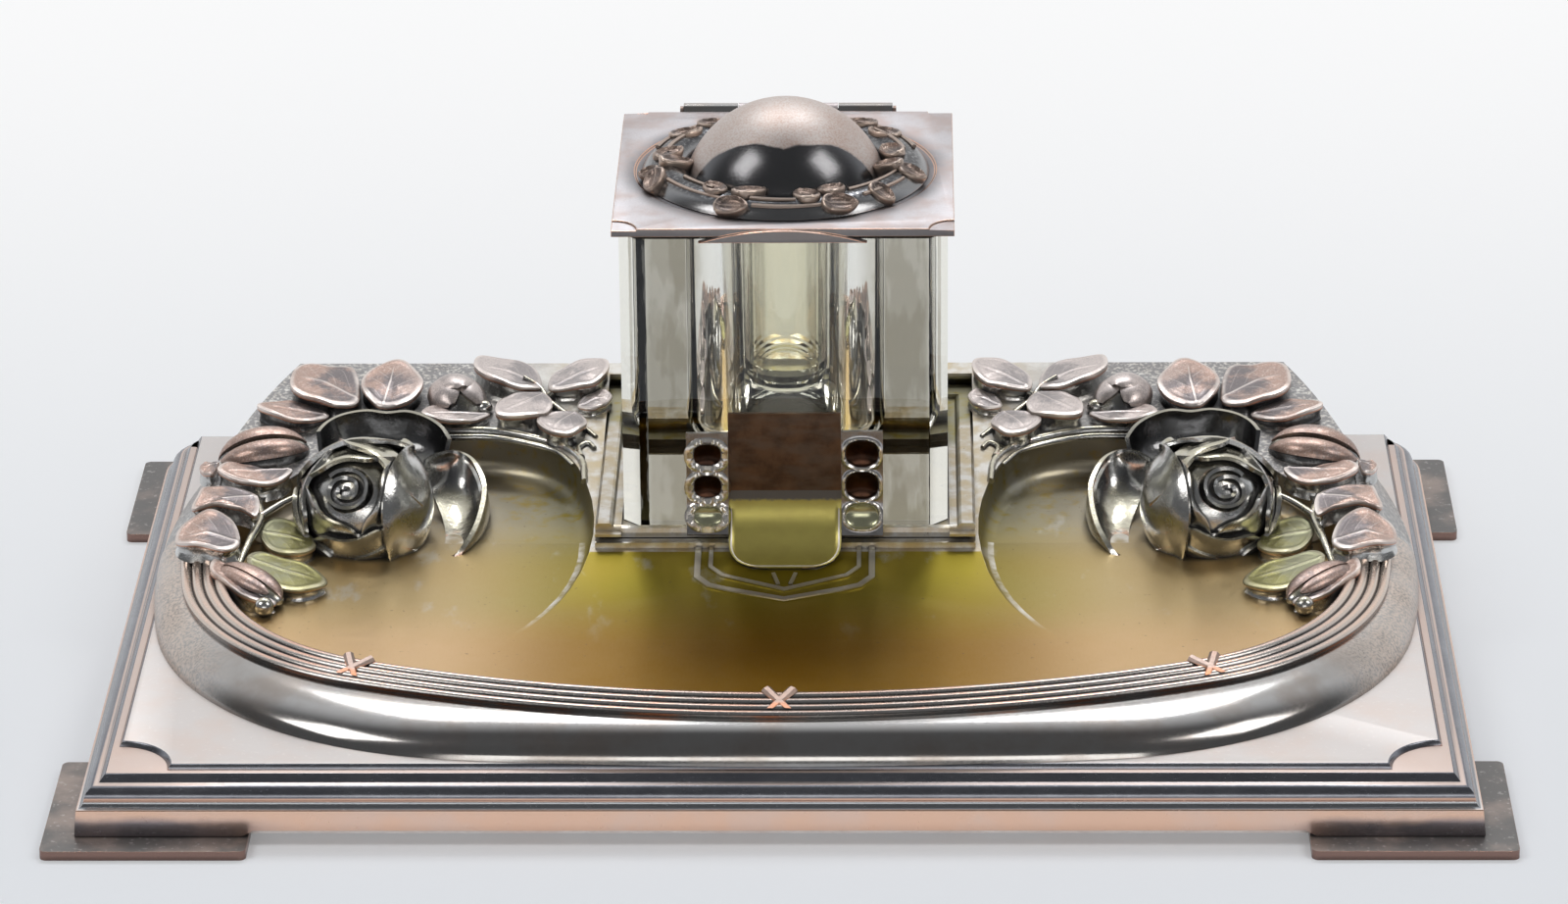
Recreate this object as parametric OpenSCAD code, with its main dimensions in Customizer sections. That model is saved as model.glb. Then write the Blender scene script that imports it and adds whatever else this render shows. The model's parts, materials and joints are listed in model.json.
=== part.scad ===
// Desk inkstand: a stepped base on four square feet carries an oval pen tray with a reeded rim,
// a rose border along the back, and a square glass inkwell with a hinged, domed lid.
// Millimetres. X runs left to right, Y front to back, Z up. The origin is under the middle.

/* [Base] */
// Width over the feet
base_w = 300; // [280:1:330]
// Depth over the feet
base_d = 202.5; // [195:0.5:215]
// Side of a square foot plate
foot_side = 42; // [30:1:50]
// Thickness of a foot plate
foot_t = 2; // [1.5:0.1:4]
// Distance that the feet stand out beyond the base
foot_reach = 6.5; // [3:0.5:9]
// Height of the upright skirt of the base
skirt_h = 4.8; // [3:0.1:8]
// Rise of the two steps above the moulding together
step_rise = 2.6; // [1.6:0.1:4]
// Rounding of the two rear corners of the base
rear_corner_r = 12; // [11:0.5:20]
// Radius of the notches in the front corners of the top field
notch_r = 11; // [6:0.5:14]
// Sheet thickness of the base
base_wall = 1.4; // [1:0.1:2]

/* [Tray] */
// Width of the tray at its foot
tray_w = 274; // [266:1:276]
// Distance from the front of the feet to the front of the tray
tray_front = 13.4; // [13:0.1:22]
// Radius of the front corners at the foot
corner_r = 73.7; // [66:0.1:76]
// Corner radius of the reeds, which run closer to a half ellipse than the foot
reed_corner_r = 62; // [55:0.5:68]
// Degrees that the reeds follow the side before they turn into the corner
reed_side_turn = 8; // [5:0.5:12]
// Width of the outer wall at the middle of the front
wall_front = 7.6; // [6:0.1:10]
// Half the turn of the shallow arc along the front, in degrees
front_turn = 6; // [5:0.1:8]
// Turn of each side between its corner and the widest line, in degrees
side_turn = 10.5; // [9:0.5:13]
// Distance from the corner centres back to the widest line
widest_back = 25; // [20:1:30]
// Height of the rim above the top field
rim_h = 9.4; // [7:0.1:12]
// Depth of the dish below the rim
dish_depth = 4.5; // [3.5:0.1:5.5]
// Sheet thickness of the tray
tray_wall = 1.3; // [1:0.1:1.8]
// Number of reeds round the rim
reed_count = 4; // [3:1:5]
// Spacing of the reeds
reed_pitch = 2.35; // [1.8:0.05:2.6]

/* [Rose border] */
// Height of the back edge of the border above the top field
border_h = 17.8; // [15:0.1:22]
// Distance from the back of the feet to the back edge of the border
border_back = 15.2; // [15:0.1:20]
// Diameter of an open rose
rose_dia = 31; // [26:0.5:34]
// Length of a large leaf
leaf_len = 17; // [13:0.5:19]

/* [Inkwell] */
// Side of the square glass block
glass_side = 70; // [60:0.5:72]
// Height of the glass block
glass_h = 66.5; // [50:0.5:80]
// Width of the ground edges of the glass
glass_edge = 3.8; // [2:0.1:6]
// Diameter of the bore in the glass
well_dia = 43.4; // [34:0.2:46]
// Depth of the bore in the glass
well_depth = 56; // [30:0.5:60]
// Outside diameter of the loose glass cup
cup_dia = 29; // [22:0.5:32]
// Depth of the cup below the top of the glass
cup_depth = 44; // [24:0.5:50]
// Wall of the cup
cup_wall = 1.8; // [1.2:0.1:2.4]
// Clearance between the glass and its seat
seat_gap = 0.4; // [0.2:0.05:0.8]
// Width of a side rail of the seat
rail_w = 5.6; // [4:0.1:7]
// Height of the rails above the floor of the seat
rail_h = 1.8; // [1:0.1:3]

/* [Front strap] */
// Width of the middle panel
strap_w = 24.2; // [18:0.2:30]
// Width of each side strip
strip_w = 9; // [7:0.2:11]
// Height of the middle panel above the seat floor
strap_h = 27.2; // [20:0.2:34]
// How much lower the side strips stop
strip_drop = 4.2; // [2:0.2:8]
// Radius of the cove at the foot of the strap
cove_r = 11.5; // [9:0.1:13]
// Sheet thickness of the strap
strap_t = 0.9; // [0.7:0.1:1.2]

/* [Lid] */
// Side of the square lid
lid_side = 72.8; // [72.6:0.2:76]
// Sheet thickness of the lid
lid_t = 1.1; // [0.9:0.1:1.6]
// Diameter of the plain dome
dome_dia = 42.7; // [36:0.1:46]
// Height of the dome above the plate
dome_h = 15.4; // [10:0.1:20]
// Outside diameter of the wreath
wreath_dia = 62; // [56:0.5:66]
// Diameter of the hinge pin
pin_dia = 1.8; // [1.4:0.1:2.2]
// Outside diameter of the hinge knuckles
knuckle_dia = 4.2; // [3.8:0.1:4.8]
// Running clearance round the hinge pin
pin_gap = 0.05; // [0.02:0.01:0.1]

/* [Hidden] */
$fn = 64;
far = 400;                                   // longer than anything here
front_y = -base_d / 2;                       // front edge of the feet
silver = "#c9bdb8";
dark_silver = "#77716d";
copper = "#b87a5a";
gilt = "#8f7f3a";
clear_glass = "#dfe8dc";

// Base profile, from its outer edge inward and from the foot plates up
base_inset = foot_reach;
skirt_top = foot_t + skirt_h;
cove_in = 2;
cove_top = skirt_top + 2.5;
ovolo_r = 2.7;
ovolo_top = cove_top + ovolo_r;
step_run = [0.3, 1.1, 1.6, 0.7];             // set-back, first riser, tread, second riser
step_z = ovolo_top + step_rise * 0.58;
field_z = ovolo_top + step_rise;
field_in = cove_in + ovolo_r + step_run[0] + step_run[1] + step_run[2] + step_run[3];

// Tray outline: three tangent arcs on each side
half_w = tray_w / 2;
side_r = mil(corner_r + widest_back / sin(side_turn));
side_cx = half_w - side_r;
corner_x = mil(side_cx + (side_r - corner_r) * cos(side_turn));
front_r = mil(corner_r + corner_x / sin(front_turn));
front_cy = front_y + tray_front + front_r;
corner_y = mil(front_cy - (front_r - corner_r) * cos(front_turn));
side_cy = mil(corner_y + (side_r - corner_r) * sin(side_turn));
rim_z = field_z + rim_h;
floor_z = rim_z - dish_depth;
wall_in = 6;                                 // width of the outer wall at the sides
wall_top = rim_z - 2.4;
reed_r = reed_pitch * 0.53;
reed_band = reed_count * reed_pitch;
reed_base = wall_top;                        // height of the centres of the reeds, outermost first
reed_slope = (rim_z - reed_r - reed_base) / reed_count;
dish_in = wall_in + reed_band + 3.6;         // outline of the flat floor
dish_fillet = 3.4;

// Outer edge of the reeds: three arcs of its own, so that the wall widens round the corners
reed_side_r = side_r - wall_in;
reed_x = mil(side_cx + (reed_side_r - reed_corner_r) * cos(reed_side_turn));
reed_y = mil(side_cy - (reed_side_r - reed_corner_r) * sin(reed_side_turn));
reed_front_y = front_y + tray_front + wall_front;
reed_drop = reed_y - reed_front_y;
reed_front_r = mil((reed_x * reed_x + reed_drop * reed_drop - reed_corner_r * reed_corner_r)
                   / (2 * (reed_drop - reed_corner_r)));
reed_front_cy = reed_front_y + reed_front_r;
reed_front_turn = atan2(reed_x, reed_front_cy - reed_y);

// Inkwell in plan, set forward from the back edge of the border
back_y = base_d / 2 - border_back;
seat_in = glass_side / 2 + seat_gap;
seat_out = seat_in + rail_w;
glass_y = back_y - 5.3 - seat_out;
glass_front = glass_y - glass_side / 2;

// Rose border: two planes that meet along the front of the inkwell
border_z = field_z + border_h;
sill_y = glass_front - 5;
sill_z = rim_z + 0.3;
border_tilt = atan2(border_z - sill_z, back_y - 1.8 - sill_y);
ramp_front = sill_y - 36;
ramp_tilt = atan2(sill_z - floor_z, sill_y - ramp_front);
tie_angle = 22;                               // from the front round to a corner tie
border_start = side_cy;                      // where the reeds run under the first leaf
side_lean = 12;
back_lean = 1.8;
lean_z = border_z - field_z + 0.5;

// Round ends of the dish, one either side of the inkwell
lobe_in_x = glass_side / 2 + seat_gap + rail_w + 0.6;
lobe_big_r = 85;
lobe_small_r = 24.5;
lobe_big = [lobe_in_x + lobe_big_r, side_cy - 5];
lobe_turn = 19;
lobe_small = lobe_big - (lobe_big_r - lobe_small_r) * [cos(lobe_turn), -sin(lobe_turn)];
lobe_top = lobe_small.y + lobe_small_r;
lobe_outer_r = half_w - dish_in - lobe_small.x;
lobe_outer = [lobe_small.x, lobe_top - lobe_outer_r];

// Inkwell
seat_z = sill_z + 3.2;
seat_t = 1.2;
rail_z = seat_z + rail_h;
seat_front = glass_front - seat_gap - 2;
glass_top = seat_z + glass_h;
flange_dia = well_dia + 3.2;
flange_t = 1.6;
fit_gap = 0.15;

// Strap
strap_y = glass_front - 1.2;                 // back face of the upright part
strap_z = seat_z + strap_h;
strap_all_w = strap_w + 2 * strip_w;
cove_c = [strap_y - strap_t - cove_r, sill_z - 0.5 + cove_r];

// Lid
collar_t = 0.8;
collar_side = glass_side - 3;
collar_z = glass_top + collar_t;
lining_t = 0.7;
lid_gap = 0.15;
lining_z = collar_z + lid_gap;
cover_z = lining_z + lining_t;
lid_top = cover_z + lid_t;
lip_drop = 2.4;
hinge_y = glass_y + lid_side / 2 + knuckle_dia / 2 + 0.3;
hinge_z = cover_z + 0.1;
knuckle_w = 12;
knuckle_gap = 0.2;
lid_knuckle_w = 22;
wreath_mid = (dome_dia + wreath_dia) / 4;
wreath_half = (wreath_dia - dome_dia) / 4;
wreath_h = 3.4;

// Rounds to a thousandth, so that neighbouring sweeps meet exactly
function mil(v) = round(v * 1000) / 1000;

// Points along an arc, for profiles
function arc(c, r, a0, a1, n = 5) =
    [for (i = [0:n]) let (a = a0 + (a1 - a0) * i / n) c + r * [cos(a), sin(a)]];

module both_sides() {
    children();
    mirror([1, 0, 0]) children();
}

module rounded_plate(w, d, r, t) {
    linear_extrude(t) {
        square([w - 2 * r, d], center = true);
        square([w, d - 2 * r], center = true);
        for (sx = [-1, 1], sy = [-1, 1])
            translate([sx * (w / 2 - r), sy * (d / 2 - r)]) circle(r);
    }
}

// ---- base ----

module foot(sx, sy) {
    color(silver)
    translate([sx * (base_w - foot_side) / 2, sy * (base_d - foot_side) / 2, 0])
        rounded_plate(foot_side, foot_side, 1.5, foot_t);
}

// Moulding from the outer edge inward; g shrinks it to make the inside of the sheet
function base_profile(g) = concat(
    [[g, foot_t], [g + 0.5, skirt_top]],
    [for (p = arc([g + 0.5, cove_top], 1.5, -90, 0, 4)) if (p.y > skirt_top) [p.x, p.y - g]],
    arc([g + cove_in + ovolo_r, cove_top - g], ovolo_r, 180, 90, 5),
    [[g + field_in - step_run[3] - step_run[2] - step_run[1], ovolo_top - g],
     [g + field_in - step_run[3] - step_run[2], step_z - g],
     [g + field_in - step_run[3], step_z - g]]);

// Solid under the first step, with mitred front corners and rounded rear ones
module base_form(g) {
    w = base_w / 2 - base_inset;
    d = base_d / 2 - base_inset;
    r = rear_corner_r;
    side = base_profile(g);
    difference() {
        intersection() {
            rotate([90, 0, 0]) linear_extrude(far, center = true)
                polygon(concat([for (p = side) [p.x - w, p.y]],
                               [for (i = [len(side) - 1:-1:0]) [w - side[i].x, side[i].y]]));
            rotate([90, 0, 90]) linear_extrude(far, center = true)
                polygon(concat([for (p = side) [p.x - d, p.y]],
                               [for (i = [len(side) - 1:-1:0]) [d - side[i].x, side[i].y]]));
        }
        both_sides() translate([w - r, d - r, foot_t - 1]) cube([far, far, far]);
    }
    both_sides() translate([w - r, d - r, 0])
        rotate_extrude(angle = 90) polygon(concat([[0, foot_t]], [for (p = side) [r - p.x, p.y]],
                                                  [[0, side[len(side) - 1].y]]));
}

// Top step, with a quarter-round notch in each front corner
module top_step() {
    in = base_inset + field_in - step_run[3];
    w = base_w - 2 * in;
    d = base_d - 2 * in;
    h = field_z - step_z;
    lean = step_run[3];
    difference() {
        intersection() {
            rotate([90, 0, 0]) linear_extrude(d, center = true)
                polygon([[-w / 2, 0], [w / 2, 0], [w / 2 - lean, h], [lean - w / 2, h]]);
            rotate([90, 0, 90]) linear_extrude(w, center = true)
                polygon([[-d / 2, 0], [d / 2, 0], [d / 2 - lean, h], [lean - d / 2, h]]);
        }
        both_sides() translate([w / 2, -d / 2, 0]) cylinder(h = h, r1 = notch_r, r2 = notch_r + lean);
        both_sides() translate([w / 2, -d / 2, h]) cylinder(h = 1, r = notch_r + lean);
    }
}

module base_plinth() {
    color(silver) {
        difference() {
            base_form(0);
            difference() {
                base_form(base_wall);
                translate([0, 0, far / 2 + step_z - base_wall]) cube(far, center = true);
            }
        }
        translate([0, 0, step_z]) top_step();
    }
}

module base_plate() {
    gap = 0.1;
    in = base_inset + base_wall + 0.5 + gap;
    color(dark_silver)
    difference() {
        translate([0, 0, foot_t]) rounded_plate(base_w - 2 * in, base_d - 2 * in, 6, 1);
        both_sides() translate([base_w / 2 - base_inset - rear_corner_r, base_d / 2 - base_inset - rear_corner_r, 0])
            difference() {
                cube([far, far, far]);
                cylinder(h = far, r = rear_corner_r - base_wall - 0.5 - gap);
            }
    }
}

// ---- pen tray ----

// Section of the rim: cove, reeds, outer wall, then back along the underside
rim_section = concat(
    arc([dish_in, floor_z + dish_fillet], dish_fillet, 270, 190, 3),
    [for (i = [reed_count - 1:-1:0])
        each arc([wall_in + (i + 0.5) * reed_pitch, reed_base + reed_slope * (i + 0.5)], reed_r, 30, 150, 4)],
    arc([wall_in + 1.6, field_z - 0.6], wall_in + 1.6, 100, 172, 4),
    [[0, field_z], [tray_wall + 0.6, field_z], [wall_in + 0.6, reed_base - tray_wall - 0.4],
     [wall_in + reed_band - 0.6, rim_z - reed_r - tray_wall], [dish_in, floor_z - tray_wall]]);

// A station of a sweep: the point on the outline, and the way in from there
function on_arc(c, r, a) = [c + r * [cos(a), sin(a)], -[cos(a), sin(a)]];
function flip(s) = [[-s[0].x, s[0].y], [-s[1].x, s[1].y]];

// Where a line from p along d leaves a circle round it
function leave(p, d, c, r) = let (q = p - c, b = q * d) p + d * (sqrt(b * b - q * q + r * r) - b);

// Adds to a station on the reeds the point of the foot outline that lies straight out from it
function with_foot(s) = let (k = leave(s[0], -s[1], [corner_x, corner_y], corner_r),
                             a = atan2(corner_y - k.y, k.x - corner_x))
    [s[0], s[1], a < side_turn ? leave(s[0], -s[1], [side_cx, side_cy], side_r)
                 : a > 90 - front_turn ? leave(s[0], -s[1], [0, front_cy], front_r) : k];

// Stations along the outer edge of the reeds, from the left end round the front to the right end
function reed_line() = let (
    half = [for (s = concat([for (i = [0:2]) on_arc([side_cx, side_cy], reed_side_r, -reed_side_turn * i / 3)],
                            [for (i = [0:9]) on_arc([reed_x, reed_y], reed_corner_r,
                                                    -reed_side_turn - (90 - reed_front_turn - reed_side_turn) * i / 10)],
                            [for (i = [0:5]) on_arc([0, reed_front_cy], reed_front_r,
                                                    270 + reed_front_turn * (1 - i / 6))])) with_foot(s)])
    concat([for (s = half) concat(flip(s), [[-s[2].x, s[2].y]])],
           [with_foot(on_arc([0, reed_front_cy], reed_front_r, 270))],
           [for (i = [len(half) - 1:-1:0]) half[i]]);

// Closed solid swept along stations whose first and last lie in one upright plane.
// Section points are [distance in, height]; the first and the last trace its top and bottom faces.
module swept(line, section) {
    n = len(line);
    m = len(section);
    top = [for (k = [n - 1:-1:0]) k * m];
    bottom = [for (k = [0:n - 1]) k * m + m - 1];
    back = concat([for (j = [m - 1:-1:0]) (n - 1) * m + j], [for (j = [0:m - 1]) j]);
    polyhedron(sweep_points(line, section), concat(sweep_sides(n, m), [top, bottom, back]));
}

// The same for a closed section, which leaves the middle open, with its wall stretched out to the foot
module swept_ring(line, section) {
    n = len(line);
    m = len(section);
    inner = [for (k = [0:n - 2]) each [[k * m + m - 1, (k + 1) * m, k * m], [k * m + m - 1, (k + 1) * m + m - 1, (k + 1) * m]]];
    ends = [[for (j = [0:m - 1]) j], [for (j = [m - 1:-1:0]) (n - 1) * m + j]];
    polyhedron(rim_points(line, section), concat(sweep_sides(n, m), inner, ends));
}

function sweep_points(line, section) = [for (s = line, p = section) let (q = s[0] + p.x * s[1]) [q.x, q.y, p.y]];
function rim_points(line, section) = [for (s = line, p = section) let (
    q = p.x < wall_in ? s[2] + (s[0] - s[2]) * p.x / wall_in : s[0] + (p.x - wall_in) * s[1]) [q.x, q.y, p.y]];
function sweep_sides(n, m) = [for (k = [0:n - 2], j = [0:m - 2]) each
    [[k * m + j, (k + 1) * m + j + 1, k * m + j + 1], [k * m + j, (k + 1) * m + j, (k + 1) * m + j + 1]]];

module below_plane(y, z, tilt) {
    translate([0, y, z]) rotate([tilt, 0, 0]) translate([-far / 2, -far / 2, -far]) cube(far);
}

// Hollow-fronted wall that leans in as it rises, as [inset, height]
function lean_profile(lean) =
    [for (i = [0:5]) let (t = i / 5) [lean * (t + 0.35 * t * (1 - t)), field_z + lean_z * t]];

// Sloping block of the rose border and of the ramp before the inkwell
module border_form(g) {
    side = lean_profile(side_lean);
    back = lean_profile(back_lean);
    top = field_z + lean_z;
    intersection() {
        both_sides_cut() translate([side_cx, side_cy, 0]) rotate_extrude($fn = 128)
            polygon(concat([[0, field_z]], [for (p = side) [side_r - g - p.x, p.y]], [[0, top]]));
        rotate([90, 0, 90]) linear_extrude(far, center = true)
            polygon(concat([[front_y, field_z]], [for (p = back) [back_y + back_lean - g - p.x, p.y]],
                           [[front_y, top]]));
        below_plane(sill_y, sill_z - g, border_tilt);
        below_plane(sill_y, sill_z - g, ramp_tilt);
        union() {
            translate([-far / 2, border_start + g, 0]) cube(far);
            if (g == 0)
                translate([-lobe_big.x / 2, ramp_front - 1, floor_z]) cube([lobe_big.x, far, far]);
        }
    }
}

module both_sides_cut() {
    intersection() {
        children();
        mirror([1, 0, 0]) children();
    }
}

// Round end of the dish with a coved foot, open to the front; g grows it to make its wall
module lobe(g) {
    front = ramp_front - 8;
    last = 180 + asin((lobe_big.y - ramp_front + 1) / lobe_big_r);
    inner = on_arc(lobe_big, lobe_big_r, last);
    line = concat([[[lobe_outer.x + lobe_outer_r, front], [-1, 0]]],
                  [for (i = [0:8]) on_arc(lobe_outer, lobe_outer_r, 90 * i / 9)],
                  [for (i = [0:8]) on_arc(lobe_small, lobe_small_r, 90 + (90 - lobe_turn) * i / 9)],
                  [for (i = [0:10]) on_arc(lobe_big, lobe_big_r, 180 - lobe_turn + (last - 180 + lobe_turn) * i / 10)],
                  [[[inner[0].x, front], [1, 0]]]);
    swept(line, concat([[-g, far]], [for (p = arc([0, floor_z + dish_fillet], dish_fillet + g, 360, 270, 4))
                                     [dish_fillet - p.x, p.y]]));
}

function normal(p, q) = let (d = (q - p) / norm(q - p)) [-d.y, d.x];

// Mitred band along a line of points
module band(line, w) {
    m = len(line) - 1;
    off = [for (i = [0:m]) let (a = normal(line[max(i - 1, 0)], line[max(i, 1)]),
                                b = normal(line[min(i, m - 1)], line[min(i + 1, m)])) (a + b) / (1 + a * b)];
    polygon(concat([for (i = [0:m]) line[i] + off[i] * w / 2], [for (i = [m:-1:0]) line[i] - off[i] * w / 2]));
}

// Raised chevron that runs from the strap down the ramp to a point
module chevron(half, depth, w) {
    side = [[half, 0], [half, -depth + 9], [half - 2.6, -depth + 5.6], [half - 6.4, -depth + 4]];
    band(concat([for (p = side) [-p.x, p.y]], [[0, -depth]], [for (i = [3:-1:0]) side[i]]), w);
}

module ramp_ribs() {
    intersection() {
        below_plane(sill_y, sill_z + 0.5, ramp_tilt);
        translate([0, sill_y + 0.4, floor_z]) linear_extrude(far) {
            chevron(strap_all_w / 2 - 2.4, 21, 1.3);
            chevron(strap_all_w / 2 - 5.2, 17, 0.9);
            for (a = [-1, 1]) band([[a * 2.4, -10.6], [a * 1.3, -15]], 0.8);
        }
    }
}

// Flat floor of the dish, up to the foot of the cove
module pen_tray() {
    color(gilt) difference() {
        translate([0, 0, floor_z - tray_wall]) linear_extrude(tray_wall)
            polygon([for (s = reed_line()) s[0] + (dish_in - wall_in) * s[1]]);
        seat_hole();
    }
}

// Rolled rim with its reeds, swept round the front and the sides
module tray_rim() {
    color(silver) swept_ring(reed_line(), rim_section);
}

// Cast border: its lobes close the dish at the back and its ramp rises to the inkwell
module rose_border() {
    color(gilt) {
        difference() {
            border_form(0);
            both_sides() lobe(0);
            difference() {
                border_form(tray_wall);
                both_sides() lobe(tray_wall);
            }
            seat_hole();
        }
        ramp_ribs();
    }
}

module seat_hole() {
    translate([-seat_out, sill_y + 0.6, field_z - 1])
        cube([2 * seat_out, glass_y + seat_out - sill_y - 0.6, far]);
}

// Three crossed ribbons over the reeds
module ribbon_ties() {
    color(copper) {
        tie([0, reed_front_cy], reed_front_r + wall_in, 270);
        both_sides() tie([reed_x, reed_y], reed_corner_r + wall_in, 270 + tie_angle);
    }
}

// Plain block that just holds one arc of the rim, to seat what lies on it
module rim_block(centre, r, a0, a1) {
    translate(centre) rotate_extrude(start = a0, angle = a1 - a0)
        polygon([for (p = [[0, field_z - 5], [0, field_z + 3.2], [3, field_z + 7], [wall_in, reed_base + reed_r],
                           [wall_in + reed_band, rim_z], [wall_in + reed_band + 1.2, rim_z],
                           [dish_in, floor_z + 1], [dish_in, field_z - 5]]) [r - p.x, p.y]]);
}

module tie(centre, r, a) {
    mid = wall_in + reed_band / 2 + 0.4;
    difference() {
        translate(centre) rotate(a) translate([r - mid, 0, rim_z - 0.9]) rotate([0, 14, 0])
            for (s = [-1, 1]) rotate(s * 34)
                rotate([90, 0, 90]) linear_extrude(reed_band + 0.6, center = true)
                    polygon([[-1.1, -1.4], [1.1, -1.4], [1.1, 0.2], [0.5, 0.7], [-0.5, 0.7], [-1.1, 0.2]]);
        rim_block(centre, r, a - 5, a + 5);
    }
}

// ---- roses and leaves ----

// Solid metal that carries the castings: border, floor of the dish and rim
module carrier() {
    clear = dish_fillet;
    difference() {
        intersection() {
            below_plane(sill_y, sill_z, border_tilt);
            translate([lobe_in_x - 3, border_start, 0]) cube(far);
        }
        intersection() {
            translate([lobe_big.x, lobe_big.y, floor_z]) cylinder(h = far, r = lobe_big_r - clear);
            translate([lobe_outer.x, lobe_outer.y, floor_z]) cylinder(h = far, r = lobe_outer_r - clear);
        }
    }
    translate([-far / 2, -far / 2, floor_z - far]) cube(far);
    rim_block([side_cx, side_cy], side_r, -side_turn, 0);
}

// Open rose: a body with three rings of lips and a row of spread petals
module rose() {
    r = rose_dia / 2;
    rotate_extrude() polygon(r * [[0, -0.8], [0.45, -0.72], [0.72, -0.4], [0.82, -0.05], [0.84, 0.3], [0.77, 0.36],
        [0.66, 0.16], [0.6, 0.18], [0.58, 0.5], [0.5, 0.56], [0.41, 0.34], [0.36, 0.34], [0.34, 0.6], [0.27, 0.66],
        [0.18, 0.48], [0.12, 0.5], [0, 0.7]]);
    for (i = [0:4]) rotate(72 * i) translate([r * 0.7, 0, r * 0.06]) rotate([0, 24, 0]) rotate(90)
        leaf(r * 1.1, r * 0.62, 1.6, r * 1.26);
}

rose_at = [91.5, 120.5];
rose_z = floor_z + 8.6;

// Spread petals round the rose: [distance, direction, length, height, lean, height above the floor]
rose_petals = [[15, 186, 26, 12, 20, 4.6], [21, 184, 27, 10.5, 26, 3.2], [27.5, 92, 28, 11, 24, 12.3]];

module rose_side() {
    difference() {
        union() {
            translate([rose_at.x, front_y + rose_at.y, rose_z]) rotate([0, 0, 34]) rotate([44, 0, 0]) rose();
            for (p = rose_petals) translate([rose_at.x, front_y + rose_at.y, floor_z + p[5]]) rotate(p[1])
                translate([p[0], 0, 0]) rotate([0, 90 - p[4], 0]) rotate(90) leaf(p[2], p[3], 1.5, p[0] + 2);
        }
        carrier();
    }
}

module rose_left() color(dark_silver) mirror([1, 0, 0]) rose_side();
module rose_right() color(dark_silver) rose_side();

// Leaf or petal: two arcs meet at the tip and the stalk, and the blade is a slice of a thick shell
module leaf(l, w, t, bend) {
    r = (l * l / 4 + w * w / 4) / w;
    intersection() {
        translate([0, w / 2 - r, -bend]) cylinder(h = 2 * bend, r = r);
        translate([0, r - w / 2, -bend]) cylinder(h = 2 * bend, r = r);
        translate([0, 0, -bend]) difference() {
            sphere(bend);
            sphere(bend - t);
        }
    }
}

// Bud: a pointed body that opens from its calyx
module bud(l, d) {
    rotate([0, 90, 0]) rotate_extrude($fn = 32)
        polygon([[0, -l / 2], [d * 0.2, -l * 0.47], [d * 0.36, -l * 0.32], [d * 0.4, -l * 0.2], [d * 0.34, -l * 0.13],
                 [d * 0.46, -l * 0.02], [d * 0.5, l * 0.08], [d * 0.4, l * 0.28], [d * 0.16, l * 0.44], [0, l / 2]]);
}

// Each leaf: [distance out, distance back, share of the large leaf, width, turn, tilt]
big_leaves = [[104.5, 173.5, 1.12, 15, 152, 4], [89.8, 174, 1.12, 14, 92, 5], [63.6, 179.3, 1, 13, 150, 6],
              [48.9, 178.6, 0.82, 12, 35, 6], [59.9, 165.2, 0.82, 11, 168, 2], [50.8, 156, 0.68, 9.6, 160, 1],
              [46, 167.2, 0.5, 7, 20, 1], [112.4, 161.5, 0.9, 9.5, 160, 3], [116.6, 133, 1, 11.5, 15, 2],
              [122.2, 121.6, 0.78, 11, 20, 2]];
buds = [[75.5, 171.5, 16, 11.5, 60], [114.5, 147, 20, 12.5, 15]];
// The same for the leaves that hang into the dish, with their height above its floor
dish_leaves = [[124, 107.5, 0.85, 11, 65, 2, 7.6], [108.5, 112, 0.9, 12, 140, 10, 3.6],
               [106.5, 96.5, 1.1, 11, 155, 4, 3.4]];
dish_bud = [115, 88, 18, 8, 72];

function border_height(y) = sill_z + (front_y + y - sill_y) * tan(border_tilt);

module foliage_side() {
    difference() {
        union() {
            for (p = big_leaves) translate([p.x, front_y + p.y, border_height(p.y) + 3.2])
                rotate([border_tilt, 0, 0]) rotate([0, 0, p[4]]) rotate([p[5], 0, 0])
                    leaf(leaf_len * p[2], p[3], 4.6, leaf_len * p[2] * 1.3);
            for (p = buds) translate([p.x, front_y + p.y, border_height(p.y) + 2])
                rotate([border_tilt, 0, p[4]]) bud(p[2], p[3]);
        }
        below_plane(sill_y, sill_z, border_tilt);
    }
    difference() {
        union() {
            for (p = dish_leaves) translate([p.x, front_y + p.y, floor_z + p[6]])
                rotate([0, 0, p[4]]) rotate([p[5], 0, 0]) leaf(leaf_len * p[2], p[3], 4, leaf_len * p[2] * 1.3);
            translate([dish_bud.x, front_y + dish_bud.y, floor_z + 3]) rotate(dish_bud[4]) bud(dish_bud[2], dish_bud[3]);
        }
        carrier();
        translate([rose_at.x, front_y + rose_at.y, rose_z]) rotate([0, 0, 34]) rotate([44, 0, 0])
            translate([0, 0, -rose_dia / 2]) cylinder(h = rose_dia, r = rose_dia / 2 + 0.6);
    }
}

module foliage_left() color(silver) mirror([1, 0, 0]) foliage_side();
module foliage_right() color(silver) foliage_side();

// ---- inkwell seat and strap ----

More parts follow.
